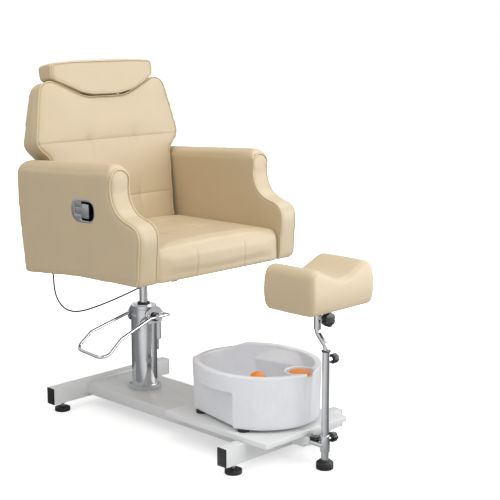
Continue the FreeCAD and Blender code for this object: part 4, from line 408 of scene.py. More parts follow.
def cord_mesh(name, points, radius, closed=False, sides=3):
    """A round bead along points, as a mesh."""
    curve = bpy.data.curves.new(name, "CURVE")
    curve.dimensions = "3D"
    curve.bevel_depth = radius
    curve.bevel_resolution = sides
    curve.use_fill_caps = True
    spline = curve.splines.new("POLY")
    spline.points.add(len(points) - 1)
    for number, point in enumerate(points):
        spline.points[number].co = (*point, 1)
    spline.use_cyclic_u = closed
    holder = bpy.data.objects.new(name + "_line", curve)
    bpy.context.scene.collection.objects.link(holder)
    mesh = bpy.data.meshes.new_from_object(holder)
    bpy.data.objects.remove(holder)
    piece = bpy.data.objects.new(name, mesh)
    bpy.context.scene.collection.objects.link(piece)
    for face in mesh.polygons:
        face.use_smooth = True
    return piece


def surface_of(piece):
    """A search tree of a piece's faces."""
    return BVHTree.FromObject(piece, bpy.context.evaluated_depsgraph_get())


def laid_on(piece, points, direction, lift=0.0):
    """Drops points onto a piece along a direction; what misses takes the nearest surface."""
    tree = surface_of(piece)
    way = Vector(direction).normalized()
    made = []
    for point in points:
        hit = tree.ray_cast(Vector(point) - way * RUN_UP, way)[0]
        if hit is None:
            hit = tree.find_nearest(Vector(point))[0]
        made.append(hit - way * lift)
    return made


def drawn_to(piece, points):
    """Moves points to the nearest surface of a piece."""
    tree = surface_of(piece)
    return [tree.find_nearest(point)[0] for point in points]


def tree_of(marks):
    """A search tree of points, which finds the nearest of them."""
    tree = KDTree(len(marks))
    for number, mark in enumerate(marks):
        tree.insert(mark, number)
    tree.balance()
    return tree


def distances_to(points, line):
    """How far each point lies from a line of points."""
    tree = tree_of(evenly(line, 0.003))
    return np.array([tree.find(point)[2] for point in points])


def press_in(piece, lines, depth, width, fading=False):
    """Draws a cover in along sewn lines, which may fade from their first point to their last."""
    points = points_of(piece)
    marks = []
    strengths = []
    for line in lines:
        steady = evenly(line, 0.002)
        marks += steady
        strengths += [1 - number / len(steady) if fading else 1 for number in range(len(steady))]
    tree = tree_of(marks)
    pull = np.zeros(len(points))
    for number, point in enumerate(points):
        mark, away = tree.find(point)[1:]
        if away < 3 * width:
            pull[number] = depth * strengths[mark] * math.exp(-(away / width) ** 2)
    set_points(piece, points - normals_of(piece) * pull[:, None])


def seam_line_with_shade(name, points, body):
    """The dark line in a sewn seam: the thread, darkened with painted shade of the seam's groove."""
    dress(cord_mesh(name, points, THREAD_RADIUS, sides=1), "thread_and_seam_shade", body, ())


def weighted(piece, name, weights):
    """A vertex group that holds each vertex by its weight."""
    group = piece.vertex_groups.new(name=name)
    for number, weight in enumerate(weights):
        if weight > 0.01:
            group.add([number], float(weight), "REPLACE")
    return group


def fill_with_foam(piece, held, limit):
    """Swells a cover over its foam as cloth, no further than the limit, where it isn't held."""
    outward = normals_of(piece)
    slack = FOAM_SLACK * limit * (1 - np.clip(held, 0, 1))
    start = points_of(piece) - outward * slack[:, None]
    set_points(piece, start)
    select_only(piece)
    group = weighted(piece, "held", held)
    cloth = piece.modifiers.new("Foam", "CLOTH")
    cloth.settings.quality = 4
    cloth.settings.mass = 0.3
    cloth.settings.tension_stiffness = 15
    cloth.settings.compression_stiffness = 15
    cloth.settings.bending_stiffness = 2.0
    cloth.settings.use_pressure = True
    cloth.settings.uniform_pressure_force = FOAM_PRESSURE
    cloth.settings.vertex_group_mass = "held"
    cloth.settings.effector_weights.gravity = 0
    cloth.point_cache.frame_start = 1
    cloth.point_cache.frame_end = FOAM_STEPS
    for moment in range(1, FOAM_STEPS + 1):
        bpy.context.scene.frame_set(moment)
    swollen = piece.evaluated_get(bpy.context.evaluated_depsgraph_get())
    moved = ((points_of(swollen) - start) * outward).sum(axis=1)
    piece.modifiers.remove(cloth)
    piece.vertex_groups.remove(group)
    bpy.context.scene.frame_set(1)
    set_points(piece, start + outward * np.clip(moved, 0, limit)[:, None])
    smoothed_near(piece, 1 - np.clip(held, 0, 1), FOAM_SMOOTHING)


def kept_inside(piece, low, high):
    """Holds a cover flat where it meets what stands next to it."""
    points = points_of(piece)
    set_points(piece, np.clip(points, np.array(low), np.array(high)))


def even_net(piece, size, smoothing):
    """Lays an even net of quads over a piece and eases its hard edges."""
    finish_with(piece, "REMESH", mode="VOXEL", voxel_size=size, adaptivity=0.0)
    finish_with(piece, "SMOOTH", factor=0.5, iterations=smoothing)


def cover_of(node, name, net, smoothing=2):
    """A cover of even quads over a cushion's solid, which fills the solid's box."""
    cover = copy_of(node, name)
    even_net(cover, net, smoothing)
    low, high = (np.array(corner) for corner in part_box(node))
    points = points_of(cover)
    least = points.min(axis=0)
    most = points.max(axis=0)
    set_points(cover, low + (points - least) * (high - low) / (most - least))
    return cover


def finer(piece):
    """Halves a cover's net, so that seams and tucks have faces enough."""
    finish_with(piece, "SUBSURF", levels=1, render_levels=1)


def smoothed_near(piece, nearness, iterations):
    """Lets the cover run smooth where a weight says so."""
    weighted(piece, "smoothed", nearness)
    finish_with(piece, "SMOOTH", factor=0.5, iterations=iterations, vertex_group="smoothed")
    piece.vertex_groups.remove(piece.vertex_groups["smoothed"])


def near(value, spread):
    """A weight of 1 where a value is 0, which falls to 0 at the spread."""
    return np.clip(1 - np.abs(value) / spread, 0, 1)


# The back's front face: its lean, where it starts, and its two ways.
LEAN = math.radians(9.5)
BACK_FOOT = Vector((0, COLUMN_Y + 0.1014, 0.600))
UP_BACK = Vector((0, math.sin(LEAN), math.cos(LEAN)))
INTO_BACK = Vector((0, math.cos(LEAN), -math.sin(LEAN)))


def on_back(across, rise, depth=0.0):
    """The point that lies so far across, up and into the leaning back."""
    return BACK_FOOT + Vector((across, 0, 0)) + UP_BACK * rise + INTO_BACK * depth


def up_the_back(points):
    """How far across, up and into the leaning back each point lies."""
    rel = points - np.array(BACK_FOOT)
    return points[:, 0], rel @ np.array(UP_BACK), rel @ np.array(INTO_BACK)


def props():
    """The sizes and the colours as the user has set them."""
    return bpy.context.scene.chair_sizes, bpy.context.scene.chair_colours


# The camera, the cable and the stage.

# The camera that matches the photograph: lens and sensor in millimetres, place, turns in degrees,
# and how far it sees.
CAMERA_LENS = 86.93
CAMERA_SENSOR = 36
CAMERA_PLACE = (-2.464, COLUMN_Y - 2.9036, 1.261)
CAMERA_TURNS = (90 - 10.94, 0.03, -45.5)
CAMERA_SIGHT = 60


class SPA_OT_camera(bpy.types.Operator):
    """Sets the camera at the photograph's angle"""

    bl_idname = "spa.camera"
    bl_label = "Camera"

    def execute(self, context):
        lens = bpy.data.cameras.new("view_camera")
        lens.lens = CAMERA_LENS
        lens.sensor_width = CAMERA_SENSOR
        lens.clip_end = CAMERA_SIGHT
        camera = bpy.data.objects.new("view_camera", lens)
        camera.location = CAMERA_PLACE
        camera.rotation_euler = Euler([math.radians(turn) for turn in CAMERA_TURNS])
        context.scene.collection.objects.link(camera)
        context.scene.camera = camera
        return {"FINISHED"}


# The route of the recline cable, in millimetres: level distance from the arm's exit, and height.
CABLE_ROUTE = [(0, 480), (0.5, 442), (9, 403), (31, 374), (62, 364), (100, 371), (150, 390),
               (205, 415), (262, 443.5), (307, 468), (350, 489)]
CABLE_EXIT = Vector((-0.290, COLUMN_Y + 0.0844, 0))
CABLE_HEADING = math.radians(58)
CABLE_RADIUS = 0.0025


class SPA_OT_recline_cable(bpy.types.Operator):
    """Hangs the recline cable between the arm and the lock"""

    bl_idname = "spa.recline_cable"
    bl_label = "Recline cable"

    def execute(self, context):
        curve = bpy.data.curves.new("recline_cable_line", "CURVE")
        curve.dimensions = "3D"
        curve.bevel_depth = CABLE_RADIUS
        curve.bevel_resolution = 5
        curve.resolution_u = 12
        curve.use_fill_caps = True
        spline = curve.splines.new("NURBS")
        spline.points.add(len(CABLE_ROUTE) - 1)
        level = Vector((math.cos(CABLE_HEADING), -math.sin(CABLE_HEADING), 0))
        for number, (along, up) in enumerate(CABLE_ROUTE):
            point = CABLE_EXIT + level * along * MM + Vector((0, 0, up * MM))
            spline.points[number].co = (*point, 1)
        spline.order_u = 3
        spline.use_endpoint_u = True
        cable = bpy.data.objects.new("cable_in_jacket", curve)
        context.scene.collection.objects.link(cable)
        cable.data.materials.append(FINISHES["cable_jacket"])
        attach(cable, "chair")
        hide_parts("recline_cable")
        return {"FINISHED"}


# Each lamp's name, place, width, height and watts, and whether only gloss shows it.
LAMPS = [
    ("key_lamp", (0.3, -3.4, 2.2), 2.2, 1.8, 46, False),
    ("top_lamp", (-0.4, -0.4, 3.4), 2.8, 2.8, 42, False),
    ("side_lamp", (-2.3, -0.3, 2.6), 1.8, 1.8, 12, False),
    ("front_sheen", (1.75, -1.95, 0.8), 2.6, 1.6, 70, True),
    ("high_sheen", (1.6, -0.3, 2.6), 2.2, 2.2, 50, True),
]
# What polished steel mirrors round the floor: turn, from 0 to 1, and strength.
FLOOR_RING = [(0.0, 0.80), (0.06, 0.95), (0.124, 0.85), (0.204, 0.60), (0.27, 0.30), (0.327, 0.07),
              (0.37, 0.55), (0.42, 0.75), (0.48, 0.25), (0.62, 0.10), (0.77, 0.16), (0.85, 0.28),
              (0.93, 0.30), (0.985, 0.72)]
LAMP_AIM = Vector((0, -0.1, 0.55))
# How strongly the world lights the chair and shows in gloss.
WORLD_LIT = 0.5
WORLD_MIRRORED = 0.8
FLOOR_SIZE = 40
FLOOR_DROP = 0.0005
# The floor's own white grows outwards from a point in front of the column: that distance, the
# white's strength there, and how far out it starts to grow and is full.
GLOW_FORWARD = 0.3
GLOW_LEAST = 0.5
GLOW_FROM = 0.7
GLOW_FULL = 2.0


class SPA_OT_stage(bpy.types.Operator):
    """Lays the pale floor and sets the soft studio lights"""

    bl_idname = "spa.stage"
    bl_label = "Stage"

    def execute(self, context):
        colours = props()[1]
        context.scene.view_settings.view_transform = "Standard"
        select_nothing()
        bpy.ops.mesh.primitive_plane_add(size=FLOOR_SIZE, location=(0, 0, -FLOOR_DROP))
        floor = context.active_object
        floor.name = "studio_floor"
        floor.data.materials.append(floor_paper(colours.floor))
        world = bpy.data.worlds.new("studio_world")
        context.scene.world = world
        world.use_nodes = True
        tree = world.node_tree
        tree.nodes.clear()
        lit, mirrored, seen = (
            add_node(tree, "ShaderNodeBackground", {"Color": WHITE, "Strength": strength})
            for strength in (WORLD_LIT, WORLD_MIRRORED, 1.0))
        add_node(tree, "ShaderNodeOutputWorld", {"Surface": by_ray(tree, lit, mirrored, seen)})
        for name, place, width, height, power, glare in LAMPS:
            light = bpy.data.lights.new(name, "AREA")
            light.shape = "RECTANGLE"
            light.size = width
            light.size_y = height
            light.energy = power
            lamp = bpy.data.objects.new(name, light)
            lamp.location = place
            aim = LAMP_AIM - Vector(place)
            lamp.rotation_euler = aim.to_track_quat("-Z", "Y").to_euler()
            lamp.visible_camera = False
            lamp.visible_diffuse = not glare
            context.scene.collection.objects.link(lamp)
        return {"FINISHED"}


def by_ray(tree, lit, mirrored, seen):
    """One shader for what a surface lights, one for what gloss mirrors, one for the camera."""
    path = add_node(tree, "ShaderNodeLightPath")
    glossy = add_node(tree, "ShaderNodeMath", {0: path.outputs["Is Glossy Ray"],
                                               1: path.outputs["Is Transmission Ray"]},
                      operation="MAXIMUM")
    unseen = add_node(tree, "ShaderNodeMixShader", {0: glossy.outputs[0], 1: lit.outputs[0],
                                                    2: mirrored.outputs[0]})
    every = add_node(tree, "ShaderNodeMixShader", {0: path.outputs["Is Camera Ray"],
                                                   1: unseen.outputs[0], 2: seen.outputs[0]})
    return every.outputs[0]


def floor_paper(colour):
    """Matt backdrop paper: it shows as near white and keeps the shadows."""
    paper = bpy.data.materials.new("matt_backdrop_paper")
    paper.use_nodes = True
    tree = paper.node_tree
    tree.nodes.clear()
    place = add_node(tree, "ShaderNodeTexCoord").outputs["Object"]
    fibre = blotches(tree, place, 0.02, 3.0)
    shade = shade_between(tree, fibre, darker(colour, 0.01), colour)
    matt = add_node(tree, "ShaderNodeBsdfDiffuse", {"Color": shade})
    middle = (0.0, COLUMN_Y - GLOW_FORWARD, 0.0)
    from_chair = add_node(tree, "ShaderNodeVectorMath", {0: place, 1: middle},
                          operation="SUBTRACT").outputs["Vector"]
    reach = add_node(tree, "ShaderNodeVectorMath", {0: from_chair}, operation="LENGTH").outputs["Value"]
    white = add_node(tree, "ShaderNodeMapRange", {"Value": reach, "From Min": GLOW_FROM,
                                                  "From Max": GLOW_FULL, "To Min": GLOW_LEAST,
                                                  "To Max": 1.0},
                     interpolation_type="SMOOTHSTEP").outputs["Result"]
    glow = add_node(tree, "ShaderNodeEmission", {"Color": WHITE, "Strength": white})
    both = add_node(tree, "ShaderNodeAddShader", {0: matt.outputs[0], 1: glow.outputs[0]})
    turn = add_node(tree, "ShaderNodeTexGradient", {"Vector": from_chair}, gradient_type="RADIAL")
    ring = add_node(tree, "ShaderNodeValToRGB", {"Fac": turn.outputs["Fac"]})
    stops = ring.color_ramp.elements
    for number, (where, strength) in enumerate(FLOOR_RING):
        stop = stops[number] if number < 2 else stops.new(where)
        stop.position = where
        stop.color = (strength, strength, strength, 1)
    mirrored = add_node(tree, "ShaderNodeEmission", {"Color": ring.outputs["Color"]})
    add_node(tree, "ShaderNodeOutputMaterial", {"Surface": by_ray(tree, matt, mirrored, both)})
    return paper


# The upholstery.


def tucks_from(centre, turns, length, place):
    """Lines that run out from a tuft, each turn in degrees, laid by a place function."""
    lines = []
    for turn in turns:
        way = Vector((math.cos(math.radians(turn)), math.sin(math.radians(turn))))
        lines.append([place(*(centre + way * length * part)) for part in (0, 0.25, 0.5, 0.75, 1)])
    return lines


# The tufts: how far they stand from the chair's middle, and on the seat in front of the column,
# and the length and turns of the tucks that run out from them there.
TUFT_ACROSS = 0.092
SEAT_TUFT_REACHES = (0.184, 0.008)
SEAT_TUCK = 0.075
SEAT_TUCK_TURNS = (112, 68, -90)
SEAT_SEAM_ACROSS = 0.098
SEAT_NET = 0.0055
# How wide the dent round a tuft is, how wide the tuft holds the cover, and how smooth dents run.
SEAT_DENT = 0.022
SEAT_TUFT_HOLD = 0.014
DENT_SMOOTHING = 60
# The heights where the seat's top begins, where lines start that are laid on it, and where its
# crown ends, and how far its sides and front may go out.
SEAT_TOP_FROM = 0.58
SEAT_ABOVE = 0.70
SEAT_CROWN = 0.64
SEAT_SIDE = 0.2515
SEAT_FRONT_SWELL = 0.012


def above_seat(across, along):
    return Vector((across, along, SEAT_ABOVE))


class SPA_OT_seat_cushion(bpy.types.Operator):
    """Makes the seat cushion with its tufts and tucks"""

    bl_idname = "spa.seat_cushion"
    bl_label = "Seat cushion"

    def execute(self, context):
        sizes = props()[0]
        seat = cover_of("seat_cushion", "seat_cover", SEAT_NET)
        points = points_of(seat)
        on_top = points[:, 2] > SEAT_TOP_FROM
        tufts = [Vector((side * TUFT_ACROSS, COLUMN_Y - reach)) for side in (-1, 1)
                 for reach in SEAT_TUFT_REACHES]
        dents = np.zeros(len(points))
        for tuft in tufts:
            away = np.hypot(points[:, 0] - tuft.x, points[:, 1] - tuft.y)
            dents = np.maximum(dents, np.where(on_top, np.clip(2 - away / SEAT_DENT, 0, 1), 0))
        smoothed_near(seat, dents, DENT_SMOOTHING)
        points = points_of(seat)
        on_top = points[:, 2] > SEAT_TOP_FROM
        held = near(points[:, 2] - SEAT_LOW.z, 0.03)
        held = np.maximum(held, near(points[:, 1] - SEAT_HIGH.y, 0.008))
        held = np.maximum(held, near(np.abs(points[:, 0]) - SEAT_HIGH.x, 0.006))
        for tuft in tufts:
            away = np.hypot(points[:, 0] - tuft.x, points[:, 1] - tuft.y)
            held = np.maximum(held, np.where(on_top, near(away, SEAT_TUFT_HOLD), 0))
        fill_with_foam(seat, held, sizes.seat_swell)
        finer(seat)
        down = (0, 0, -1)
        tucks = []
        for tuft in tufts:
            for line in tucks_from(tuft, SEAT_TUCK_TURNS, SEAT_TUCK, above_seat):
                tucks.append(laid_on(seat, line, down))
        press_in(seat, tucks, 1.3 * sizes.tuft_depth, 0.009, True)
        press_in(seat, [line[:2] for line in tucks], 1.3 * sizes.tuft_depth, SEAT_DENT, True)
        rows = np.linspace(SEAT_LOW.z + 0.004, SEAT_HIGH.z - 0.03, 24)
        for side in (-1, 1):
            line = [(side * SEAT_SEAM_ACROSS, SEAT_LOW.y, z) for z in rows]
            press_in(seat, [laid_on(seat, line, BACKWARDS)], 0.0012, 0.004)
            # A dark seam line: the thread, with painted shade of the seam's groove.
            seam_line_with_shade("seat_front_seam_%d" % side, laid_on(seat, line, BACKWARDS, -0.0003), "chair")
        kept_inside(seat, (-SEAT_SIDE, SEAT_LOW.y - SEAT_FRONT_SWELL, SEAT_LOW.z),
                    (SEAT_SIDE, SEAT_HIGH.y, SEAT_CROWN))
        smooth_shaded(seat)
        dress(seat, "upholstery", "chair", ["seat_cushion"])
        return {"FINISHED"}


# The arms: how far the welt stands in from the edges and starts over the foot, the height where
# the front's arch springs, how far out the cover may go, and the width of its outer front roll.
WELT_INSET = 0.0035
WELT_FROM = 0.034
ARCH_SPRING = 0.801
ARM_SIDE = 0.333
ARM_ROLL = 0.03
ARM_NET = 0.0055
RISE_POINTS = 60
ARCH_POINTS = 24
# The block that opens the cover behind the bezel: its middle past the bezel's face, its depth,
# how much less than the bezel it is, and its corner radius.
OPENING_MIDDLE = 0.007
OPENING_DEPTH = 0.054
OPENING_LAP = 0.004
OPENING_CORNER = 0.031


def arm_edges(arm, side):
    """The welt's line up the front of an arm, over its arch and down the other edge."""
    inner = ARM_LOW.x
    outer = ARM_HIGH.x
    middle = (inner + outer) / 2
    radius = (outer - inner) / 2 - WELT_INSET
    low = ARM_LOW.z + WELT_FROM
    rows = [low + (ARCH_SPRING - low) * number / RISE_POINTS for number in range(RISE_POINTS + 1)]
    line = [(side * (outer - WELT_INSET), z) for z in rows]
    line += [(side * (middle + radius * math.cos(math.pi * step / ARCH_POINTS)),
              ARCH_SPRING + radius * math.sin(math.pi * step / ARCH_POINTS))
             for step in range(1, ARCH_POINTS)]
    line += [(side * (inner + WELT_INSET), z) for z in reversed(rows)]
    found = laid_on(arm, [(x, ARM_LOW.y - 0.05, z) for x, z in line], BACKWARDS, -0.0004)
    return evenly(found, 0.005)


class SPA_OT_arm_covers(bpy.types.Operator):
    """Makes both padded arms with a piped front band"""

    bl_idname = "spa.arm_covers"
    bl_label = "Arms"

    def execute(self, context):
        sizes = props()[0]
        for side, name, node in ((1, "left_arm_cover", "left_arm_cushion"),
                                 (-1, "right_arm_cover", "right_arm_cushion")):
            arm = cover_of("left_arm_cushion", name, ARM_NET)
            if side < 0:
                points = points_of(arm)
                points[:, 0] *= -1
                set_points(arm, points)
                arm.data.flip_normals()
            points = points_of(arm)
            away = distances_to(points, arm_edges(arm, side))
            inner = near(np.abs(points[:, 0]) - ARM_LOW.x, 0.004)
            held = np.maximum(near(away, 0.010), inner)
            held = np.maximum(held, near(points[:, 2] - ARM_LOW.z, 0.02))
            fill_with_foam(arm, held, sizes.arm_swell)
            points = points_of(arm)
            rolled = near(away, 0.016) * (np.abs(points[:, 0]) > ARM_HIGH.x - ARM_ROLL)
            smoothed_near(arm, np.clip(1.6 * rolled, 0, 1), 40)
            finer(arm)
            edge = arm_edges(arm, side)
            press_in(arm, [edge], 0.0028, 0.0042)
            low = (ARM_LOW.x if side > 0 else -ARM_SIDE, ARM_LOW.y - 0.01, ARM_LOW.z - 0.003)
            high = (ARM_SIDE if side > 0 else -ARM_LOW.x, ARM_HIGH.y + 0.008, ARM_HIGH.z + 0.006)
            kept_inside(arm, low, high)
            if side < 0:
                cut_handle_opening(arm)
            smooth_shaded(arm)
            dress(arm, "upholstery", "chair", [node])
            dress(cord_mesh(name + "_welt", edge, sizes.piping), "piping", "chair", ())
        return {"FINISHED"}


def cut_handle_opening(arm):
    """Cuts the cover away behind the recline handle's bezel."""
    low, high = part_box("handle_bezel")
    select_nothing()
    bpy.ops.mesh.primitive_cube_add(size=1, location=(low.x + OPENING_MIDDLE, (low.y + high.y) / 2,
                                                      (low.z + high.z) / 2))
    block = bpy.context.active_object
    block.scale = (OPENING_DEPTH, high.y - low.y - OPENING_LAP, high.z - low.z - OPENING_LAP)
    bpy.ops.object.transform_apply(location=True, scale=True)
    bpy.ops.object.mode_set(mode="EDIT")
    bpy.ops.mesh.select_mode(type="EDGE")
    bpy.ops.mesh.select_all(action="DESELECT")
    bpy.ops.object.mode_set(mode="OBJECT")
    for edge in block.data.edges:
        first, second = (block.data.vertices[v].co for v in edge.vertices)
        edge.select = abs(first.x - second.x) > OPENING_DEPTH / 2
    bpy.ops.object.mode_set(mode="EDIT")
    bpy.ops.mesh.bevel(offset=OPENING_CORNER, segments=10)
    bpy.ops.object.mode_set(mode="OBJECT")
    finish_with(arm, "BOOLEAN", operation="DIFFERENCE", solver="EXACT", object=block)
    bpy.data.objects.remove(block)


# Half of the back's front outline: across, up its slope, and corner radius, in millimetres.
BACK_HALF = [(226, -25, 20), (246.6, 230.5, 14), (293, 277, 40), (249.2, 476, 45), (195, 469, 60),
             (80, 418.5, 90)]
# The level seams: how far up the slope each lies, and half of its length.
BACK_SEAMS = {0.281: 0.284, 0.091: 0.23}
BACK_TUCK = 0.085
BACK_NET = 0.006
# How wide the seams' dents are, how wide the welt and the tufts hold the cover, the depth within
# which it is the front face, and the depth from which it is the rear, which the board keeps flat.
BACK_DENT = 0.020
BACK_WELT_HOLD = 0.012
BACK_TUFT_HOLD = 0.016
BACK_FRONT_WITHIN = 0.02
BACK_REAR_FROM = 0.09
SEAM_POINTS = 50
# The height under which the back stands clear of the seat behind it.
BACK_CLEAR_UNDER = 0.635


def back_outline():
    """Points round the back's front face, as far across and up its slope."""
    half = [(x * MM, rise * MM, radius * MM) for x, rise, radius in BACK_HALF]
    other = [(-x, rise, radius) for x, rise, radius in reversed(half)]
    return rounded_line(half + other, 10)


class SPA_OT_back_cushion(bpy.types.Operator):
    """Makes the winged back with its welt, seams and tufts"""

    bl_idname = "spa.back_cushion"
    bl_label = "Back cushion"

    def execute(self, context):
        sizes = props()[0]
        back = cover_of("back_cushion", "back_cover", BACK_NET)
        outline = [on_back(p.x, p.y, 0.0005) for p in back_outline()]
        ring = evenly(outline, 0.004, True)
        points = points_of(back)
        across, rise, depth = up_the_back(points)
        from_ring = distances_to(points, ring)
        dents = np.zeros(len(points))
        for height in BACK_SEAMS:
            dents = np.maximum(dents, np.clip(2 - np.abs(rise - height) / BACK_DENT, 0, 1))
        dents = np.where(depth < 0.01, dents, 0) * np.clip(from_ring / BACK_WELT_HOLD - 1, 0, 1)
        smoothed_near(back, dents, DENT_SMOOTHING)
        points = points_of(back)
        across, rise, depth = up_the_back(points)
        in_front = depth < BACK_FRONT_WITHIN
        held = near(from_ring, BACK_WELT_HOLD)
        tufts = [Vector((side * TUFT_ACROSS, height)) for side in (-1, 1) for height in BACK_SEAMS]
        for tuft in tufts:
            spread = np.hypot(across - tuft.x, rise - tuft.y)
            held = np.maximum(held, np.where(in_front, near(spread, BACK_TUFT_HOLD), 0))
        for height in BACK_SEAMS:
            held = np.maximum(held, np.where(in_front, 0.5 * near(rise - height, 0.008), 0))
        held = np.maximum(held, np.where(depth > BACK_REAR_FROM, 1.0, 0))
        held = np.maximum(held, near(rise, 0.04))
        fill_with_foam(back, held, sizes.back_swell)
        finer(back)
        tucks = []
        for tuft in tufts:
            for line in tucks_from(tuft, (90, -90), BACK_TUCK, on_back):
                tucks.append(laid_on(back, line, INTO_BACK))
        press_in(back, tucks, 0.45 * sizes.tuft_depth, 0.010, True)
        press_in(back, [line[:2] for line in tucks], 0.4 * sizes.tuft_depth, 0.008, True)
        for number, (height, half) in enumerate(BACK_SEAMS.items()):
            line = [on_back(part / SEAM_POINTS * half, height, -0.01)
                    for part in range(-SEAM_POINTS, SEAM_POINTS + 1)]
            press_in(back, [laid_on(back, line, INTO_BACK)], 0.0012, 0.0035)
            # A dark seam line: the thread, with painted shade of the seam's groove.
            seam_line_with_shade("back_seam_%d" % number, laid_on(back, line, INTO_BACK, 0.0001), "back")
        ring = drawn_to(back, ring)
        press_in(back, [ring], 0.0024, 0.0045)
        points = points_of(back)
        points[:, 1] = np.where(points[:, 2] < BACK_CLEAR_UNDER,
                                np.maximum(points[:, 1], SEAT_HIGH.y + 0.0004), points[:, 1])
        set_points(back, points)
        smooth_shaded(back)
        dress(back, "upholstery", "back", ["back_cushion"])
        welt = cord_mesh("back_cover_welt", ring, sizes.piping * 0.85, True)
        dress(welt, "piping", "back", ())
        return {"FINISHED"}


# The headrest's welt, seen from the front: across, up the back's slope, and corner radius, in
# millimetres.
PILLOW_EDGE = [(208, 479, 14), (193, 470, 16), (104, 430, 40), (58, 421, 60), (-58, 421, 60),
               (-104, 430, 40), (-193, 470, 16), (-208, 479, 14), (-208, 523, 10), (-193, 528, 10),
               (193, 528, 10), (208, 523, 10)]
# Half of the headrest: across, lower edge, upper edge, front face behind its own front, and the
# corner radius of the foam there, in millimetres.
PILLOW_ROWS = [(0, 421, 533, 0, 26), (58, 422, 533, 0, 26), (104, 432, 533, 0, 24),
               (150, 452, 531, 1, 20), (193, 470, 528, 5, 14), (208, 479, 523, 11, 9)]
PILLOW_EDGE_RADIUS = 0.007
# The headrest's front lies before the back's face, and its rear behind it.
PILLOW_FORWARD = 0.02
PILLOW_REAR_FROM = 0.055
PILLOW_NET = 0.004
# How far the headrest's and the leg rest's foam may swell.
SMALL_SWELL = 0.003


def square_front(pillow):
    """Draws the foam's round front edges out to the tight corner that the sewn cover has."""
    points = points_of(pillow)
    across, rise, depth = up_the_back(points)
    stations, lows, highs, backs, radii = (np.array(row) * MM for row in zip(*PILLOW_ROWS))
    away = np.abs(across)
    front = depth.min() + np.interp(away, stations, backs)
    radius = np.interp(away, stations, radii)
    edge = np.minimum(PILLOW_EDGE_RADIUS, radius)
    behind = np.maximum(depth - front, 0)
    for limit, sign in ((np.interp(away, stations, lows), 1), (np.interp(away, stations, highs), -1)):
        inside = np.maximum(sign * (rise - limit), 0)
        corner = (inside < radius) & (behind < radius)
        share = np.where(corner, edge / radius, 1)
        rise = np.where(corner, limit + sign * inside * share, rise)
        depth = np.where(corner, front + behind * share, depth)
        behind = np.maximum(depth - front, 0)
    moved = np.outer(across, (1, 0, 0)) + np.array(BACK_FOOT) + np.outer(rise, UP_BACK)
    set_points(pillow, moved + np.outer(depth, INTO_BACK))


class SPA_OT_headrest(bpy.types.Operator):
    """Makes the headrest bolster with its welt"""

    bl_idname = "spa.headrest"
    bl_label = "Headrest"

    def execute(self, context):
        sizes = props()[0]
        pillow = cover_of("headrest_cushion", "headrest_cover", PILLOW_NET, 1)
        square_front(pillow)
        depth = up_the_back(points_of(pillow))[2]
        held = np.where(depth > PILLOW_REAR_FROM, 0.6, 0.2)
        fill_with_foam(pillow, held, SMALL_SWELL)
        finer(pillow)
        edge = [(x * MM, rise * MM, radius * MM) for x, rise, radius in PILLOW_EDGE]
        ring = [on_back(p.x, p.y, -PILLOW_FORWARD) for p in rounded_line(edge, 6)]
        ring = drawn_to(pillow, evenly(ring, 0.004, True))
        press_in(pillow, [ring], 0.0014, 0.0035)
        welt = cord_mesh("headrest_front_welt", ring, 0.7 * sizes.piping, True)
        dress(welt, "piping", "headrest", ())
        smooth_shaded(pillow)
        dress(pillow, "upholstery", "headrest", ["headrest_cushion"])
        return {"FINISHED"}


# The leg rest's cover bulges at half its height and draws in a little at its foot.
LEG_BULGE = 0.007
LEG_TUCK_IN = 0.001
LEG_NET = 0.0045


class SPA_OT_leg_rest(bpy.types.Operator):
    """Makes the leg rest's cushion"""

    bl_idname = "spa.leg_rest"
    bl_label = "Leg rest"

    def execute(self, context):
        pad = cover_of("legrest_cushion", "leg_rest_cover", LEG_NET)
        points = points_of(pad)
        low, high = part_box("legrest_cushion")
        smoothed_near(pad, np.clip((points[:, 2] - low.z) / 0.03 - 0.2, 0, 1), 3)
        points = points_of(pad)
        held = np.maximum(near(points[:, 2] - low.z, 0.02), 0.5)
        fill_with_foam(pad, held, SMALL_SWELL)
        points = points_of(pad)
        share = np.clip((points[:, 2] - low.z) / (high.z - low.z), 0, 1)
        bulge = LEG_BULGE * np.sin(math.pi * share ** 0.8) - LEG_TUCK_IN * (1 - share) ** 2
        for axis in (0, 1):
            middle = (low[axis] + high[axis]) / 2
            half = (high[axis] - low[axis]) / 2
            points[:, axis] = middle + (points[:, axis] - middle) * (1 + bulge / half)
        set_points(pad, points)
        finer(pad)
        smooth_shaded(pad)
        dress(pad, "upholstery", "leg_pad", ["legrest_cushion"])
        return {"FINISHED"}


# The basin and the base.


class SPA_OT_basin(bpy.types.Operator):
    """Makes the moulded foot basin"""

    bl_idname = "spa.basin"
    bl_label = "Foot basin"

    def execute(self, context):
        sizes = props()[0]
        tub = copy_of("basin_tub", "basin_shell")
        even_net(tub, sizes.shell_net, 4)
        smooth_shaded(tub)
        dress(tub, "white_shell", "basin", ["basin_tub"])
        return {"FINISHED"}


# The beads round the pump's casing: name, height over its foot or, below 0, under its head, how
# far out from its side, and radius.
BEADS = [("casing_foot_weld", 0.0012, 0.0004, 0.0020), ("casing_head_band", -0.010, -0.0004, 0.0009)]
BEAD_POINTS = 90


class SPA_OT_welds(bpy.types.Operator):
    """Lays the weld bead round the pump casing's foot and the band under its head"""

    bl_idname = "spa.welds"
    bl_label = "Welds"

    def execute(self, context):
        low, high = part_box("pump_casing")
        middle = (low + high) / 2
        for name, rise, reach, bead in BEADS:
            height = rise + (low.z if rise > 0 else high.z)
            radius = (high.x - low.x) / 2 + reach
            turns = [math.tau * step / BEAD_POINTS for step in range(BEAD_POINTS)]
            ring = [Vector((middle.x + radius * math.cos(turn), middle.y + radius * math.sin(turn), height))
                    for turn in turns]
            dress(cord_mesh(name, ring, bead, True, 2), "satin_nickel", "base", ())
        return {"FINISHED"}


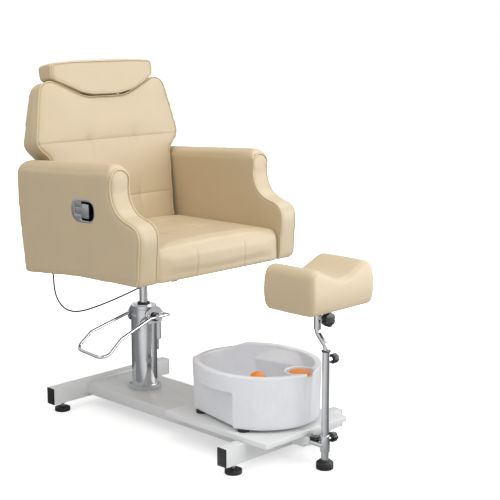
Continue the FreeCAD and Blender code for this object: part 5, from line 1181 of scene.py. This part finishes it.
# The parts whose edges are eased: node, body, slot, and the width of the rounding.
EASED = [
    ("rear_cross_tube", "base", "white_coat", 0.0018), ("front_cross_tube", "base", "white_coat", 0.0018),
    ("centre_channel", "base", "white_coat", 0.0015), ("tray", "base", "white_coat", 0.0012),
    ("bar_receiver", "base", "white_coat", 0.001), ("tube_end_caps", "base", "black_plastic", 0.0006),
    ("foot_pads", "base", "black_rubber", 0.0015), ("pump_flange", "base", "grey_coat", 0.0012),
    ("seat_plate", "chair", "dark_steel", 0.001), ("seat_socket", "chair", "dark_steel", 0.0012),
    ("post_clamp", "leg_base", "chrome_plate", 0.0012),
    ("leg_slide_bar", "leg_base", "chrome_plate", 0.0012),
    ("post_foot_pad", "leg_base", "black_rubber", 0.002), ("basin_feet", "basin", "black_rubber", 0.0015),
    ("clamp_knob", "clamp_screw", "black_plastic", 0.0012),
    ("height_knob", "height_screw", "black_plastic", 0.0012),
    ("swivel_knob", "swivel_screw", "black_plastic", 0.0015),
    ("bar_lock_lever", "bar_lever", "black_plastic", 0.0008),
    ("lever_hubs", "foot_lever", "black_plastic", 0.0015), ("basin_dial", "dial", "orange_plastic", 0.0012),
    ("handle_bezel", "chair", "satin_nickel", 0.0006), ("recline_paddle", "paddle", "satin_nickel", 0.0006),
]


class SPA_OT_hard_parts(bpy.types.Operator):
    """Eases the edges of the steel, rubber and plastic parts"""

    bl_idname = "spa.hard_parts"
    bl_label = "Hard parts"

    def execute(self, context):
        for node, body, slot, width in EASED:
            piece = copy_of(node, node + "_eased")
            finish_with(piece, "DECIMATE", decimate_type="DISSOLVE", angle_limit=math.radians(2))
            finish_with(piece, "BEVEL", width=width, segments=2, limit_method="ANGLE",
                        angle_limit=math.radians(40), use_clamp_overlap=True)
            smooth_shaded(piece, 35)
            dress(piece, slot, body, [node])
        return {"FINISHED"}


class SPA_OT_finishes(bpy.types.Operator):
    """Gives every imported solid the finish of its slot"""

    bl_idname = "spa.finishes"
    bl_label = "Finishes"

    def execute(self, context):
        for part in frame["record"]["subparts"]:
            solid = frame["nodes"][part["node"]]
            for slot in solid.material_slots:
                slot.material = FINISHES[part["material_slot"]]
        return {"FINISHED"}


class SPA_PT_panel(bpy.types.Panel):
    """Lists the chair's pieces in the sidebar"""

    bl_idname = "SPA_PT_panel"
    bl_label = "Spa Chair"
    bl_space_type = "VIEW_3D"
    bl_region_type = "UI"
    bl_category = "Spa Chair"

    def draw(self, context):
        layout = self.layout
        for group in (context.scene.chair_sizes, context.scene.chair_colours):
            for name in group.bl_rna.properties.keys():
                if name not in ("rna_type", "name"):
                    layout.prop(group, name)
        for operator in OPERATORS:
            layout.operator(operator.bl_idname)


OPERATORS = (SPA_OT_camera, SPA_OT_recline_cable, SPA_OT_stage, SPA_OT_seat_cushion, SPA_OT_arm_covers,
             SPA_OT_back_cushion, SPA_OT_headrest, SPA_OT_leg_rest, SPA_OT_basin, SPA_OT_welds,
             SPA_OT_hard_parts, SPA_OT_finishes)
CLASSES = (ChairSizes, ChairColours, *OPERATORS, SPA_PT_panel)


def register():
    for made in CLASSES:
        bpy.utils.register_class(made)
    bpy.types.Scene.chair_sizes = bpy.props.PointerProperty(type=ChairSizes)
    bpy.types.Scene.chair_colours = bpy.props.PointerProperty(type=ChairColours)


def unregister():
    del bpy.types.Scene.chair_sizes
    del bpy.types.Scene.chair_colours
    for made in reversed(CLASSES):
        bpy.utils.unregister_class(made)


def main():
    register()
    sizes, colours = props()
    FINISHES.update(make_finishes(colours, sizes))
    for operator in OPERATORS:
        group, name = operator.bl_idname.split(".")
        getattr(getattr(bpy.ops, group), name)()


if __name__ == "__main__":
    main()
